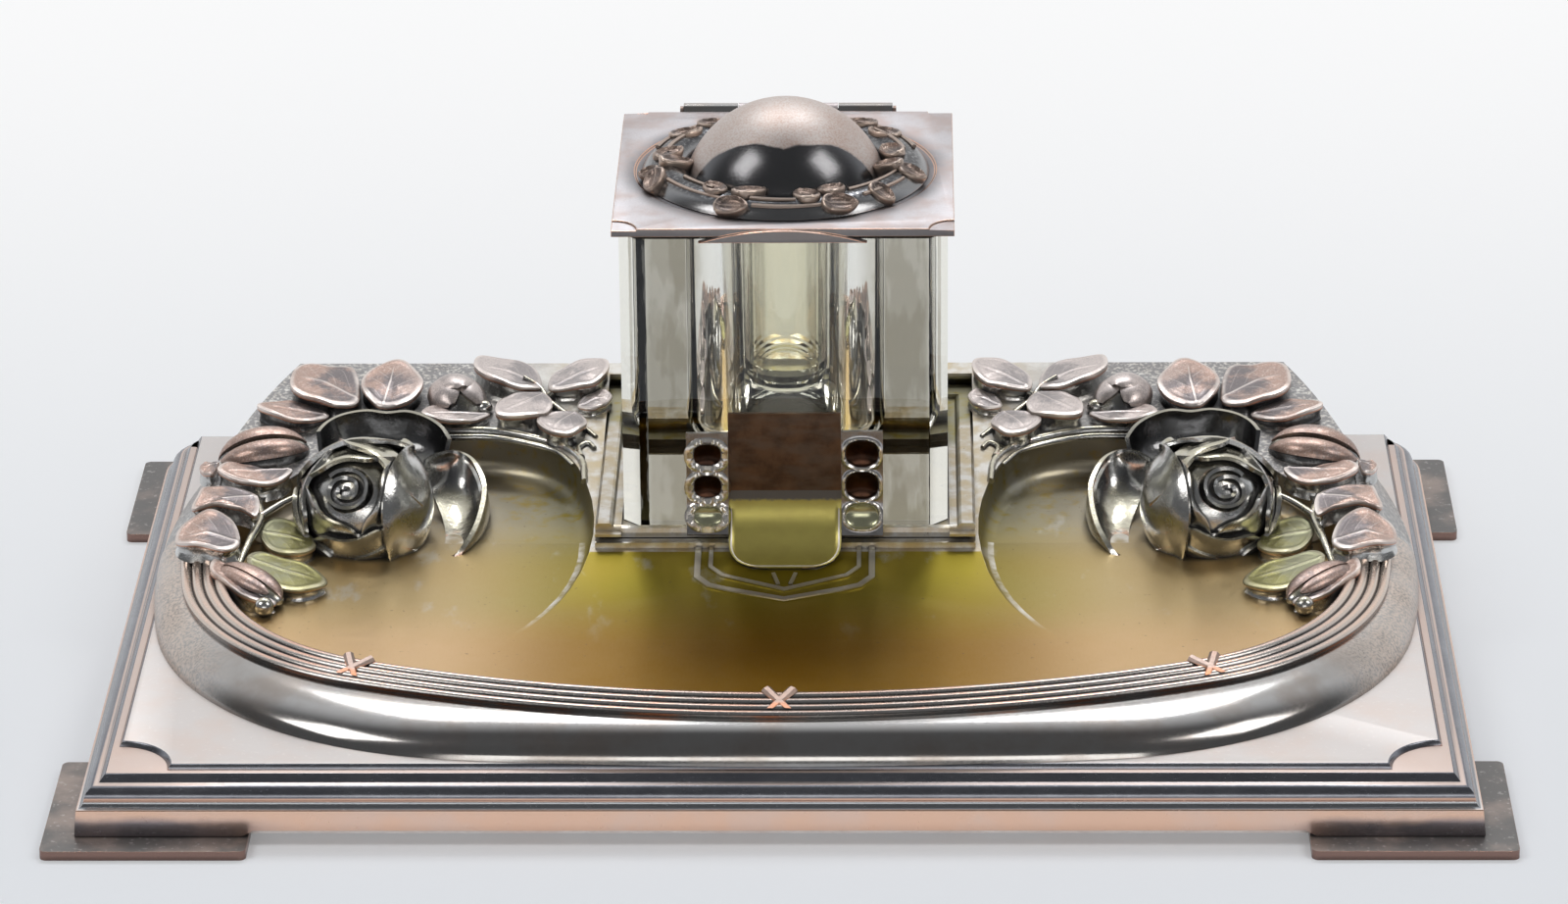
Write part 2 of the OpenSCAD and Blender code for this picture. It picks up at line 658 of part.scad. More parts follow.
module inkwell_seat() {
    y0 = seat_front;
    color(gilt)
    difference() {
        union() {
            rotate([90, 0, 90]) linear_extrude(2 * seat_out, center = true)
                polygon(concat([[sill_y + 0.6, field_z], [sill_y + 0.6, sill_z - 0.4], [y0 - 2.4, sill_z],
                                [y0 - 2.4, sill_z + 1]],
                               arc([y0 - 2.4, seat_z + 0.6], seat_z - sill_z - 0.6, 270, 360, 4),
                               [[y0 + 1.2, seat_z + 0.9], [y0 + 1.6, seat_z], [glass_y + seat_out, seat_z],
                                [glass_y + seat_out, field_z]]));
            both_sides() rotate([90, 0, 0]) linear_extrude(far, center = true)
                polygon([[seat_in, seat_z - 0.5], [seat_in, seat_z + rail_h * 0.45], [seat_in + 1.6, seat_z + rail_h * 0.45],
                         [seat_in + 2.1, rail_z - 0.3], [seat_in + 2.6, rail_z], [seat_out - 0.6, rail_z],
                         [seat_out, rail_z - 0.6], [seat_out, seat_z - 0.5]]);
            translate([-seat_out, glass_y + seat_in, seat_z - 0.5]) cube([2 * seat_out, rail_w, rail_h + 0.5]);
        }
        translate([-far / 2, y0 - far, seat_z + 0.1]) cube([far, far, far]);
        translate([-far / 2, sill_y + 0.6 - far, field_z - 1]) cube(far);
        translate([-far / 2, glass_y + seat_out, 0]) cube(far);
        translate([-seat_out + seat_t, sill_y + 0.6 + seat_t, field_z - 1])
            cube([2 * seat_out - 2 * seat_t, glass_y + seat_out - sill_y - 0.6 - 2 * seat_t, seat_z - seat_t - field_z + 1]);
        strap_room();
    }
}

// Space behind the visible face of the strap
module strap_room() {
    translate([0, cove_c.x, cove_c.y]) rotate([0, 90, 0])
        cylinder(h = strap_all_w + 0.2, r = cove_r + strap_t, center = true);
}

module strap_section(top, w) {
    rotate([90, 0, 90]) linear_extrude(w, center = true)
        polygon(concat(arc(cove_c, cove_r, 270, 360, 8), [[cove_c.x + cove_r, top], [cove_c.x + cove_r + strap_t, top]],
                       arc(cove_c, cove_r + strap_t, 360, 270, 8)));
}

module front_strap() {
    nose_r = 8;
    oval = [3.7, 4.6];                       // half width and half height of a dished oval
    dish = 0.5;
    ball = (oval.x * oval.x + dish * dish) / (2 * dish);
    color(copper)
    difference() {
        union() {
            intersection() {
                strap_section(strap_z, strap_w);
                union() {
                    translate([-strap_w / 2, cove_c.x + nose_r, 0]) cube([strap_w, far, far]);
                    translate([0, cove_c.x, 0]) linear_extrude(far) {
                        translate([-strap_w / 2 + nose_r, 0]) square([strap_w - 2 * nose_r, 2 * nose_r]);
                        for (s = [-1, 1]) translate([s * (strap_w / 2 - nose_r), nose_r]) circle(nose_r);
                    }
                }
            }
            intersection() {
                strap_section(strap_z - strip_drop, strap_all_w);
                translate([-far / 2, seat_front - 2.4, 0]) cube(far);
            }
        }
        for (s = [-1, 1], i = [0:1])
            translate([s * (strap_w + strip_w) / 2, cove_c.x + cove_r + dish - ball,
                       strap_z - strip_drop - oval.y - 1 - (2 * oval.y + 0.5) * i])
                scale([1, 1, oval.y / oval.x]) sphere(ball, $fn = 96);
        below_plane(sill_y, sill_z, ramp_tilt);
    }
}

// ---- glass, collar and lid ----

module glass_block() {
    e = glass_edge;
    s = glass_side / 2;
    outline = [[s, e - s], [s, s - e], [s - e, s], [e - s, s], [-s, s - e], [-s, e - s], [e - s, -s], [s - e, -s]];
    color(clear_glass, 0.4)
    translate([0, glass_y, seat_z]) difference() {
        intersection() {
            linear_extrude(glass_h) polygon(outline);
            for (a = [0, 90]) rotate([90, 0, a]) linear_extrude(glass_side, center = true)
                polygon([[e * 0.5 - s, 0], [s - e * 0.5, 0], [s, e], [s, glass_h - 0.8], [s - 0.8, glass_h],
                         [0.8 - s, glass_h], [-s, glass_h - 0.8], [-s, e]]);
        }
        translate([0, 0, glass_h]) rotate_extrude()
            polygon(concat([[0, 1], [0, -well_depth]], arc([well_dia / 2 - 8, 8 - well_depth], 8, 270, 360, 5),
                           [[well_dia / 2, -flange_t], [flange_dia / 2 + fit_gap, -flange_t],
                            [flange_dia / 2 + fit_gap, 1]]));
    }
}

module glass_cup() {
    r = cup_dia / 2;
    color(clear_glass, 0.5)
    translate([0, glass_y, glass_top]) rotate_extrude()
        polygon(concat([[0, -cup_depth]], arc([r - 5, 5 - cup_depth], 5, 270, 360, 4),
                       [[r, -flange_t], [flange_dia / 2, -flange_t], [flange_dia / 2, -0.3], [flange_dia / 2 - 0.3, 0],
                        [r - cup_wall + 1.5, 0], [r - cup_wall, -1.5]],
                       arc([r - cup_wall - 4, 4 + 2.6 - cup_depth], 4, 360, 270, 4),
                       [[0, 2.6 - cup_depth]]));
}

module knuckle(x, w, hole) {
    translate([x, hinge_y, hinge_z]) rotate([0, 90, 0]) difference() {
        cylinder(h = w, d = knuckle_dia, center = true);
        cylinder(h = w + 1, r = hole, center = true);
    }
}

module glass_collar() {
    hole = pin_dia / 2 + pin_gap;
    x = lid_knuckle_w / 2 + knuckle_gap + knuckle_w / 2;
    color(dark_silver) difference() {
        union() {
            translate([0, glass_y, glass_top]) rounded_plate(collar_side, collar_side, 2, collar_t);
            for (s = [-1, 1]) {
                knuckle(s * x, knuckle_w, hole);
                hinge_leaf(s * x, knuckle_w, glass_top, collar_t);
            }
        }
        translate([0, glass_y, glass_top - 1]) cylinder(h = collar_t + 2, r = flange_dia / 2 + 0.4);
        translate([-far / 2, hinge_y, hinge_z]) rotate([0, 90, 0]) cylinder(h = far, r = hole);
    }
}

// Flat strip from a plate back to its knuckles
module hinge_leaf(x, w, z, t) {
    translate([x - w / 2, glass_y + collar_side / 2 - 4, z])
        cube([w, hinge_y - glass_y - collar_side / 2 + 4, t]);
}

module hinge_pin() {
    all_w = lid_knuckle_w + 2 * (knuckle_gap + knuckle_w);
    color(copper) translate([0, hinge_y, hinge_z]) rotate([0, 90, 0]) {
        cylinder(h = all_w + 0.4, d = pin_dia, center = true);
        for (s = [-1, 1]) translate([0, 0, s * (all_w / 2 + 0.45)])
            cylinder(h = 0.7, d = pin_dia + 1, center = true);
    }
}

module lid_cover() {
    s = lid_side / 2;
    dome_r = (dome_dia * dome_dia / 4 + dome_h * dome_h) / (2 * dome_h);
    corner = 9;
    color(silver) difference() {
        union() {
            translate([0, glass_y, cover_z]) {
                linear_extrude(lid_t) square(lid_side, center = true);
                intersection() {
                    translate([0, 0, dome_h + lid_t - dome_r]) sphere(dome_r, $fn = 96);
                    cylinder(h = far, d = dome_dia + 2);
                }
            }
            // turned-down edge
            translate([0, glass_y, collar_z + lid_gap]) linear_extrude(cover_z - collar_z) difference() {
                square(lid_side, center = true);
                square(lid_side - 2 * lid_t, center = true);
            }
            // thumb lip, bowed down in front
            translate([0, glass_y - s, cover_z + lid_t - 20 - lip_drop]) rotate([90, 0, 0]) intersection() {
                translate([0, 20 - 60 + lip_drop * 0.9, -lid_t]) cylinder(h = lid_t * 1.6, r = 60);
                translate([-20, 19.4, -lid_t]) cube([40, far, far]);
            }
            knuckle(0, lid_knuckle_w, pin_dia / 2 + pin_gap);
            translate([-lid_knuckle_w / 2, glass_y + s - lid_t, cover_z])
                cube([lid_knuckle_w, hinge_y - glass_y - s + lid_t, lid_t]);
        }
        translate([0, glass_y, cover_z + lid_t - dome_r + dome_h]) sphere(dome_r - lid_t, $fn = 96);
        translate([0, glass_y, lid_top]) rotate_extrude($fn = 96)
            polygon([[wreath_dia / 2 - 0.6, -0.35], [wreath_dia / 2 + 1.4, -0.35], [wreath_dia / 2 + 2.2, 0.5],
                     [wreath_dia / 2 - 0.6, 0.5]]);
        for (sx = [-1, 1], sy = [-1, 1]) translate([sx * s, glass_y + sy * s, lid_top - 0.4])
            cylinder(h = 1, r = corner * 0.6);
        translate([-far / 2, hinge_y, hinge_z]) rotate([0, 90, 0]) cylinder(h = far, r = pin_dia / 2 + pin_gap);
    }
}

// Half-round ring with sprays of three leaves
module lid_wreath() {
    color(dark_silver) translate([0, glass_y, lid_top]) difference() {
        union() {
            rotate_extrude($fn = 96) intersection() {
                translate([wreath_mid, 0]) scale([1, wreath_h / wreath_half]) circle(wreath_half, $fn = 32);
                square([far, far]);
            }
            for (a = [0:60:300], b = [-1, 0, 1])
                rotate(a + b * 13) translate([wreath_mid + (b == 0 ? -1.6 : 1.4), 0, wreath_h * 0.55])
                    rotate(b * 40) rotate([0, 14, 0]) leaf(8.4, 5.2, 2.4, 9.7);
        }
        translate([0, 0, -far]) cube([far, far, 2 * far], center = true);
        translate([0, 0, -1]) cylinder(h = 9, d1 = dome_dia, d2 = dome_dia);
    }
}

module lid_lining() {
    color(dark_silver) difference() {
        translate([0, glass_y, lining_z]) rounded_plate(lid_side - 2 * lid_t - 0.2, lid_side - 2 * lid_t - 0.2, 1, lining_t);
        translate([0, glass_y, lining_z - 1]) cylinder(h = 4, d = dome_dia - 8);
    }
}

foot(-1, -1);  // foot_front_left
foot(1, -1);  // foot_front_right
foot(-1, 1);  // foot_rear_left
foot(1, 1);  // foot_rear_right
base_plinth();
base_plate();
pen_tray();
tray_rim();
rose_border();
ribbon_ties();
rose_left();
rose_right();
foliage_left();
foliage_right();
inkwell_seat();
front_strap();
glass_block();
glass_cup();
glass_collar();
hinge_pin();
lid_cover();
lid_wreath();
lid_lining();
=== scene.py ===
# Desk inkstand: materials, castings, glass and studio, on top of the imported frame.
import json
import math
import bpy
import bmesh
from mathutils import Matrix, Vector


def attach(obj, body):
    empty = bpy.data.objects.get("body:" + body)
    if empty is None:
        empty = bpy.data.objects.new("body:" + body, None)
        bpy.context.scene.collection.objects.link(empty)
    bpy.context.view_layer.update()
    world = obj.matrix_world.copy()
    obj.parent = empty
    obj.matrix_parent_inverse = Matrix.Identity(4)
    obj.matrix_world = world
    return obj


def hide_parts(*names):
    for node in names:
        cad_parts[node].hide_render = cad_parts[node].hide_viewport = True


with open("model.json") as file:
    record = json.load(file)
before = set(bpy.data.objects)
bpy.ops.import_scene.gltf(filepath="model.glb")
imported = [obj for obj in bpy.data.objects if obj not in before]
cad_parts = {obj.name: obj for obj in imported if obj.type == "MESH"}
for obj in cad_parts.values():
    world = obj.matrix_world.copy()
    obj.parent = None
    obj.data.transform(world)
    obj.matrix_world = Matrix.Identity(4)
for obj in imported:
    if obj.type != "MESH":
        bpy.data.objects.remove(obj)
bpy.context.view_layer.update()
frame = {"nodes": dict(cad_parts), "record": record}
nodes = frame["nodes"]
scene = bpy.context.scene
mm = 0.001


# Node in a tree; settings are its options, values go to its inputs by name or as i0, i1 and so on
def addNode(tree, kind, out=0, settings=None, **values):
    node = tree.nodes.new(kind)
    for key, value in (settings or {}).items():
        setattr(node, key, value)
    for key, value in values.items():
        plug(tree, value, node.inputs[int(key[1:]) if key[1:].isdigit() else key.replace("_", " ")])
    return Sock(tree, node.outputs[out])


def plug(tree, value, socket):
    if isinstance(value, Sock):
        tree.links.new(value.out, socket)
    elif isinstance(value, (tuple, list)) and len(value) == 3 and socket.type == "RGBA":
        socket.default_value = (*value, 1.0)
    else:
        socket.default_value = value


# A socket that takes part in Python expressions
class Sock:
    def __init__(self, tree, out):
        self.tree = tree
        self.out = out

    def math(self, op, *others):
        values = {"i%d" % i: value for i, value in enumerate((self, *others))}
        return addNode(self.tree, "ShaderNodeMath", settings={"operation": op}, **values)

    def ease(self, low, high, a=0.0, b=1.0):
        return addNode(self.tree, "ShaderNodeMapRange", settings={"interpolation_type": "SMOOTHSTEP"},
                       i0=self, i1=low, i2=high, i3=a, i4=b)

    def axes(self, wanted="xyz"):
        split = self.tree.nodes.new("ShaderNodeSeparateXYZ")
        plug(self.tree, self, split.inputs[0])
        return [Sock(self.tree, split.outputs["xyz".index(axis)]) for axis in wanted]

    def __add__(self, other): return self.math("ADD", other)
    def __sub__(self, other): return self.math("SUBTRACT", other)
    def __rsub__(self, other): return (self * -1) + other
    def __mul__(self, other): return self.math("MULTIPLY", other)
    def __truediv__(self, other): return self.math("DIVIDE", other)
    def __pow__(self, other): return self.math("POWER", other)
    def __abs__(self): return self.math("ABSOLUTE")
    def most(self, other): return self.math("MAXIMUM", other)
    def clip(self): return self.most(0.0).math("MINIMUM", 1.0)


# One material under construction; the sizes it is given are in mm
class Skin:
    def __init__(self, name, colour=None):
        self.mat = bpy.data.materials.new(name)
        self.mat.use_nodes = True
        self.tree = self.mat.node_tree
        self.tree.nodes.clear()
        self.place = self.node("ShaderNodeTexCoord", out=3)
        self.colour = colour

    def node(self, *args, **values):
        return addNode(self.tree, *args, **values)

    def spot(self, wanted):
        return [axis / mm for axis in self.place.axes(wanted)]

    def facing(self):
        return self.node("ShaderNodeNewGeometry", out=1)

    def mark(self, name):
        return self.node("ShaderNodeAttribute", out=1, settings={"attribute_name": name}).axes()

    def noise(self, size, detail, scale=None, turn=(0.0, 0.0, 0.0)):
        place = self.place
        if scale:
            place = self.node("ShaderNodeMapping", i0=place, Rotation=turn, Scale=scale)
        return self.node("ShaderNodeTexNoise", Vector=place, Scale=1.0 / (size * mm), Detail=detail,
                         Roughness=0.55)

    def cloud(self, size, low, high, scale=None):
        return self.noise(size, 4.0, scale).ease(low, high)

    def mix(self, share, a, b):
        return self.node("ShaderNodeMix", 2, {"data_type": "RGBA"}, i0=share, i6=a, i7=b)

    # Lays a tint over the colour so far
    def lay(self, share, tint):
        self.colour = self.mix(share, self.colour, tint)

    def bump(self, height, strength, distance, **values):
        return self.node("ShaderNodeBump", Height=height, Strength=strength, Distance=distance * mm, **values)

    def surface(self, shader):
        final = self.tree.nodes.new("ShaderNodeOutputMaterial")
        self.tree.links.new(shader.out, final.inputs[0])
        return self.mat

    def finish(self, **values):
        return self.surface(self.node("ShaderNodeBsdfPrincipled", Base_Color=self.colour, **values))


def only(geom, kind):
    return [g for g in geom if isinstance(g, getattr(bmesh.types, "BM" + kind))]


print("stage: camera and studio")

camera = {"lens": 148.18, "pitch": 22.904, "yaw": -1.175, "roll": -0.549,
          "place": (26.039, -1272.559, 584.722)}


def makeCamera(cfg):
    pitch, yaw, roll = (math.radians(cfg[k]) for k in ("pitch", "yaw", "roll"))
    ahead = Vector((math.sin(yaw) * math.cos(pitch), math.cos(yaw) * math.cos(pitch), -math.sin(pitch)))
    right = Vector((math.cos(yaw), -math.sin(yaw), 0.0))
    up = right.cross(ahead)
    right, up = (right * math.cos(roll) + up * math.sin(roll), up * math.cos(roll) - right * math.sin(roll))
    data = bpy.data.cameras.new("camera")
    data.lens = cfg["lens"]
    data.sensor_width = 36.0
    data.clip_end = 20.0
    obj = bpy.data.objects.new("camera", data)
    scene.collection.objects.link(obj)
    obj.matrix_world = Matrix((right, up, -ahead)).transposed().to_4x4()
    obj.matrix_world.translation = Vector(cfg["place"]) * mm
    scene.camera = obj


studio = {"paper": (0.86, 0.89, 0.935), "glow": (0.97, 0.975, 0.985), "glowAt": (-0.05, 1.7), "glowReach": 1.9,
          "farFrom": (-0.15, 0.5), "farGlow": (0.16, 0.86), "white": (1.0, 1.0, 1.0),
          "rear": 2.6, "width": 8.0, "bend": 0.9, "height": 3.2, "front": -2.4}


def makeFloor(cfg):
    bm = bmesh.new()
    edge = [bm.verts.new((side * cfg["width"] / 2, cfg["front"], 0.0)) for side in (-1, 1)]
    flat = cfg["rear"] - cfg["bend"]
    made = bmesh.ops.extrude_edge_only(bm, edges=[bm.edges.new(edge)])["geom"]
    bmesh.ops.translate(bm, verts=only(made, "Vert"), vec=(0.0, flat - cfg["front"], 0.0))
    spun = bmesh.ops.spin(bm, geom=only(made, "Vert") + only(made, "Edge"), cent=(0.0, flat, cfg["bend"]),
                          axis=(1.0, 0.0, 0.0), angle=math.radians(90), steps=16, use_merge=False)["geom_last"]
    up = bmesh.ops.extrude_edge_only(bm, edges=only(spun, "Edge"))["geom"]
    bmesh.ops.translate(bm, verts=only(up, "Vert"), vec=(0.0, 0.0, cfg["height"]))
    mesh = bpy.data.meshes.new("floor")
    bm.to_mesh(mesh)
    bm.free()
    for face in mesh.polygons:
        face.use_smooth = True
    obj = bpy.data.objects.new("floor", mesh)
    scene.collection.objects.link(obj)
    skin = Skin("studio paper")
    x, y = skin.place.axes("xy")
    dx, dy = x - cfg["glowAt"][0], y - cfg["glowAt"][1]
    glow = ((dx * dx + dy * dy) ** 0.5).ease(cfg["glowReach"], 0.2)
    paper = skin.node("ShaderNodeBsdfPrincipled", Base_Color=skin.mix(glow, cfg["paper"], cfg["glow"]),
                      Roughness=0.85, Specular_IOR_Level=0.1)
    # The far part shines by itself in views and reflections, which leaves the light on the desk alone
    rays = [skin.node("ShaderNodeLightPath", out=i) for i in (0, 3, 6)]
    seen = (rays[0] + rays[1] + rays[2]).clip()
    far = y.ease(*cfg["farFrom"], *cfg["farGlow"])
    white = skin.node("ShaderNodeEmission", i0=cfg["white"], i1=1.0)
    mesh.materials.append(skin.surface(skin.node("ShaderNodeMixShader", i0=seen * far, i1=paper, i2=white)))


# Each lamp: place, point it looks at, size, watts, colour
lamps = {
    "leftBox": ((-1.12, -0.42, 1.36), (0, 0, 0.02), (0.62, 0.80), 7, (1.0, 0.98, 0.96)),
    "rightBox": ((1.18, -0.38, 1.36), (0, 0, 0.02), (0.62, 0.80), 7, (1.0, 0.98, 0.96)),
    "leftRear": ((-0.36, 1.25, 1.75), (0, 0.0, 0.02), (0.30, 0.5), 6, (0.96, 0.98, 1.0)),
    "rightRear": ((0.36, 1.25, 1.75), (0, 0.0, 0.02), (0.30, 0.5), 6, (0.96, 0.98, 1.0)),
    "frontBox": ((0.1, -2.1, 0.55), (0, 0, 0.05), (1.6, 0.5), 6, (1.0, 0.98, 0.95)),
}


def makeLamp(name, place, aim, size, watts, colour):
    data = bpy.data.lights.new(name, "AREA")
    data.shape = "RECTANGLE"
    data.size, data.size_y = size
    data.energy = watts
    data.color = colour
    obj = bpy.data.objects.new(name, data)
    scene.collection.objects.link(obj)
    obj.rotation_euler = (Vector(aim) - Vector(place)).to_track_quat("-Z", "Y").to_euler()
    obj.location = place


# Bright behind the desk and dim in front of it, with a soft line between them overhead
sky = {"lift": -0.05, "edge": (0.02, 0.46), "dim": 0.14, "bright": 1.0, "colour": (0.95, 0.97, 1.0)}


def makeWorld(cfg):
    world = bpy.data.worlds.new("studio")
    scene.world = world
    world.use_nodes = True
    tree = world.node_tree
    tree.nodes.clear()
    y, z = addNode(tree, "ShaderNodeTexCoord").axes("yz")
    glow = (z * cfg["lift"] + y).ease(*cfg["edge"], cfg["dim"], cfg["bright"])
    back = addNode(tree, "ShaderNodeBackground", i0=cfg["colour"], i1=glow)
    tree.links.new(back.out, tree.nodes.new("ShaderNodeOutputWorld").inputs[0])


makeCamera(camera)
makeFloor(studio)
for lampName, lampSet in lamps.items():
    makeLamp(lampName, *lampSet)
makeWorld(sky)
scene.view_settings.view_transform = "Standard"

print("stage: finishes")

# Tones of the old plate, as albedo; the soot tone also paints shade in hollows and where parts meet
tone = {"silver": (0.80, 0.755, 0.725), "bare": (0.70, 0.47, 0.37), "copper": (0.56, 0.24, 0.13),
        "sootAndShade": (0.035, 0.035, 0.04), "steel": (0.50, 0.49, 0.48)}


# Shared patina: hollows and the places where parts meet darken, partly as soot and partly as painted shade; edges
# wear to copper
def patina(skin, hollow=3.0, sootAndShade=0.85, wear=0.7, rim=0.35, edgeTone=None):
    shut, bare = (1 - skin.node("ShaderNodeAmbientOcclusion", out=1, settings={"samples": 6, "inside": inside},
                                Distance=reach * mm) for inside, reach in ((False, hollow), (True, rim)))
    dark = shut.ease(0.30, 0.80) * sootAndShade
    skin.lay(bare.ease(0.45, 0.85) * skin.cloud(5, 0.30, 0.62) * wear, edgeTone or tone["copper"])
    skin.lay(dark, tone["sootAndShade"])
    return dark


# Flat, worn plate: brushed grain, pink blotches where the copper shows through
def wornSilver(name, warm=0.45, rough=0.34, sootAndShade=0.8, wear=0.8, shade=1.0):
    skin = Skin(name, tone["silver"])
    blotch = skin.cloud(16, 0.42, 0.72)
    grain = skin.noise(0.55, 6.0, (0.25, 1.0, 1.0))
    speck = skin.cloud(1.3, 0.60, 0.74)
    skin.lay(blotch * warm, tone["bare"])
    skin.lay(grain.ease(0.35, 0.65) * 0.30, (0.62, 0.56, 0.53))
    skin.lay(speck * 0.4, (0.88, 0.83, 0.80))
    skin.lay(1 - shade, (0.20, 0.10, 0.06))
    dark = patina(skin, 2.2, sootAndShade, wear)
    return skin.finish(Metallic=0.95 - dark * 0.5, Roughness=grain * 0.20 + (rough - 0.10) + dark * 0.2,
                       Normal=skin.bump(grain, 0.10, 0.1))


# Burnished mouldings and outer wall: mirror with a brown film and fine scratches
def brightSilver(name, colour=None, rough=0.11, film=0.5, wear=0.8, sootAndShade=0.7):
    skin = Skin(name)
    blotch = skin.cloud(11, 0.40, 0.70)
    grain = skin.noise(0.5, 6.0)
    scratch = skin.noise(0.35, 4.0, (0.08, 1.0, 1.0), (0.2, 0.1, 0.5))
    skin.colour = skin.mix(blotch * film, colour or tone["steel"], (0.36, 0.29, 0.24))
    dark = patina(skin, 1.6, sootAndShade, wear, 0.5)
    scuffs = blotch * 0.10 + scratch.ease(0.5, 0.7) * 0.08 + grain * 0.10
    return skin.finish(Metallic=1.0 - dark * 0.4, Roughness=scuffs + (rough - 0.05) + dark * 0.25,
                       Normal=skin.bump(grain, 0.07, 0.05))


# Gilding of the dish: tan in the lobes, amber in the middle, green under the sill, grey where lobes slope up
giltMap = {"lobeSide": (36, 80), "green": (-42, -14), "lobeGrey": (0, 34), "frost": 0.5}


def giltTone(skin, cfg):
    x, y = skin.spot("xy")
    side = abs(x).ease(*cfg["lobeSide"])
    green = y.ease(*cfg["green"])
    cloudy = skin.cloud(26, 0.30, 0.70)
    fine = skin.noise(3, 6.0)
    middle = skin.mix(green, (0.33, 0.165, 0.004), (0.33, 0.265, 0.02))
    lobes = skin.mix(green * 0.7, (0.66, 0.45, 0.245), (0.47, 0.375, 0.19))
    skin.colour = skin.mix(side, middle, lobes)
    skin.lay(cloudy * 0.2, (0.44, 0.27, 0.06))
    far = y.ease(*cfg["lobeGrey"]) * (fine + cloudy * 0.2).ease(0.30, 0.60)
    skin.lay(far * cfg["frost"], (0.34, 0.37, 0.40))
    streak = skin.noise(9, 5.0, (1.0, 0.5, 1.0)).ease(0.60, 0.72) * green
    skin.lay(streak * 0.45, (0.60, 0.60, 0.56))
    pits = skin.noise(1.1, 2.0).ease(0.70, 0.76)
    skin.lay(pits * 0.5, (0.12, 0.08, 0.05))
    return fine


def giltWash(name, cfg):
    skin = Skin(name)
    fine = giltTone(skin, cfg)
    dark = patina(skin, 2.5, 0.75, 0.0)
    grain = skin.noise(0.5, 5.0, (1.0, 0.2, 1.0))
    return skin.finish(Metallic=0.9 - dark * 0.5, Roughness=grain * 0.14 + fine * 0.10 + 0.24,
                       Normal=skin.bump(grain, 0.06, 0.05))


# Ground of the castings: border plane, ramp below it and floor of the dish, in mm
ground = {"sillY": -0.25, "sillZ": 24.3, "rise": 0.0947, "ramp": 0.1333, "floorZ": 19.5, "cutZ": 18.9}


# Raised ground: gilt below the border plane, slate at the ends, silver with tan patches toward the inkwell
def castGround(name, cfg, land):
    skin = Skin(name)
    x, y, z = skin.spot("xyz")
    fine = giltTone(skin, cfg)
    gold = skin.colour
    blotch = skin.cloud(5, 0.35, 0.65)
    grain = skin.noise(0.9, 6.0)
    silver = skin.mix(blotch * 0.6, (0.70, 0.68, 0.64), (0.42, 0.38, 0.34))
    near = 1 - abs(x).ease(40, 58)
    skin.colour = skin.mix(near * blotch * 0.8, silver, (0.55, 0.44, 0.25))
    film = abs(x).ease(50, 75) * grain.ease(0.34, 0.54)
    skin.lay(film * 0.75, (0.12, 0.12, 0.135))
    past = y - land["sillY"]
    over = (z - (past * land["rise"] + land["sillZ"])).ease(-0.9, -0.3)
    onTop = past.ease(-1.2, -0.6)
    proud = (z - (past * land["ramp"] + land["sillZ"])).ease(0.12, 0.3) * (1 - onTop)
    cast = (over * onTop).most(proud)
    nx, ny = skin.facing().axes("xy")
    outer = (ny.ease(0.15, 0.3) * y.ease(70, 74)).most((nx * x).ease(15, 30) * abs(x).ease(96, 100))
    cast = cast.most(outer)
    meets = past.ease(-6.0, -34.0) * (1 - cast)
    flow = skin.mix(meets, skin.facing(), (0.0, 0.0, 1.0))
    flow = skin.node("ShaderNodeVectorMath", settings={"operation": "NORMALIZE"}, i0=flow)
    skin.lay(proud * 0.7, (0.80, 0.78, 0.72))
    skin.colour = skin.mix(cast, gold, skin.colour)
    dark = patina(skin, 3.6, 0.9, y.ease(-34, -20) * 0.85, 0.45, (0.86, 0.83, 0.77))
    return skin.finish(Metallic=0.9 - dark * 0.5,
                       Roughness=grain * 0.14 + fine * 0.10 + 0.24 - cast * 0.05 + dark * cast * 0.2,
                       Normal=skin.bump(grain, cast * 0.06 + 0.05, 0.1, Normal=flow))


# Leaf tops: slate toward the stalk, rubbed pink and speckled toward the tip, pale rim with copper below it
def leafSkin(name, gilded=0.0, tones=None):
    skin = Skin(name)
    a, b, rim = skin.mark("onLeaf")
    fine = skin.noise(0.9, 6.0)
    blotch = skin.cloud(7, 0.34, 0.62)
    speck = skin.noise(0.35, 3.0)
    (x,) = skin.spot("x")
    inner = abs(x).ease(92, 74)
    slate, pale = (0.14, 0.137, 0.15), (0.82, 0.74, 0.69)
    rubbed = skin.mix(inner, (0.46, 0.315, 0.26), (0.60, 0.53, 0.505))
    if gilded:
        slate, rubbed, pale = (0.30, 0.30, 0.20), (0.30, 0.28, 0.10), (0.60, 0.56, 0.40)
    slate, rubbed, pale = tones or (slate, rubbed, pale)
    stalk = (a * 0.5 - rim * 0.35 + fine * 0.5 + blotch * 0.35).ease(0.12, 0.55)
    skin.colour = skin.mix(stalk * (0.85 - inner * 0.25), rubbed, slate)
    skin.lay(speck.ease(0.54, 0.66) * (1 - stalk * 0.7) * 0.55, pale)
    skin.lay(speck.ease(0.44, 0.34) * 0.35, slate)
    rib = abs(b).ease(0.045, 0.015) * a.ease(-0.75, -0.3)
    slant = (a + abs(b) * 0.7) * 2.4
    side = abs(slant - slant.math("ROUND")).ease(0.07, 0.0) * abs(b).ease(0.0, 0.2) * 0.5
    skin.lay(rib.most(side * rim.ease(0.85, 0.6)) * 0.6, pale)
    skin.lay(rim.ease(0.84, 0.96) * (blotch * 0.5 + 0.4), pale)
    skin.lay(rim.ease(1.12, 1.25) * (0.5 if gilded else 0.8), tone["copper"])
    dark = patina(skin, 1.6, 0.7, 0.0)
    return skin.finish(Metallic=0.85 - dark * 0.4, Roughness=fine * 0.24 + speck * 0.1 + 0.20 + dark * 0.2,
                       Normal=skin.bump(fine + speck * 0.5, 0.22, 0.12))
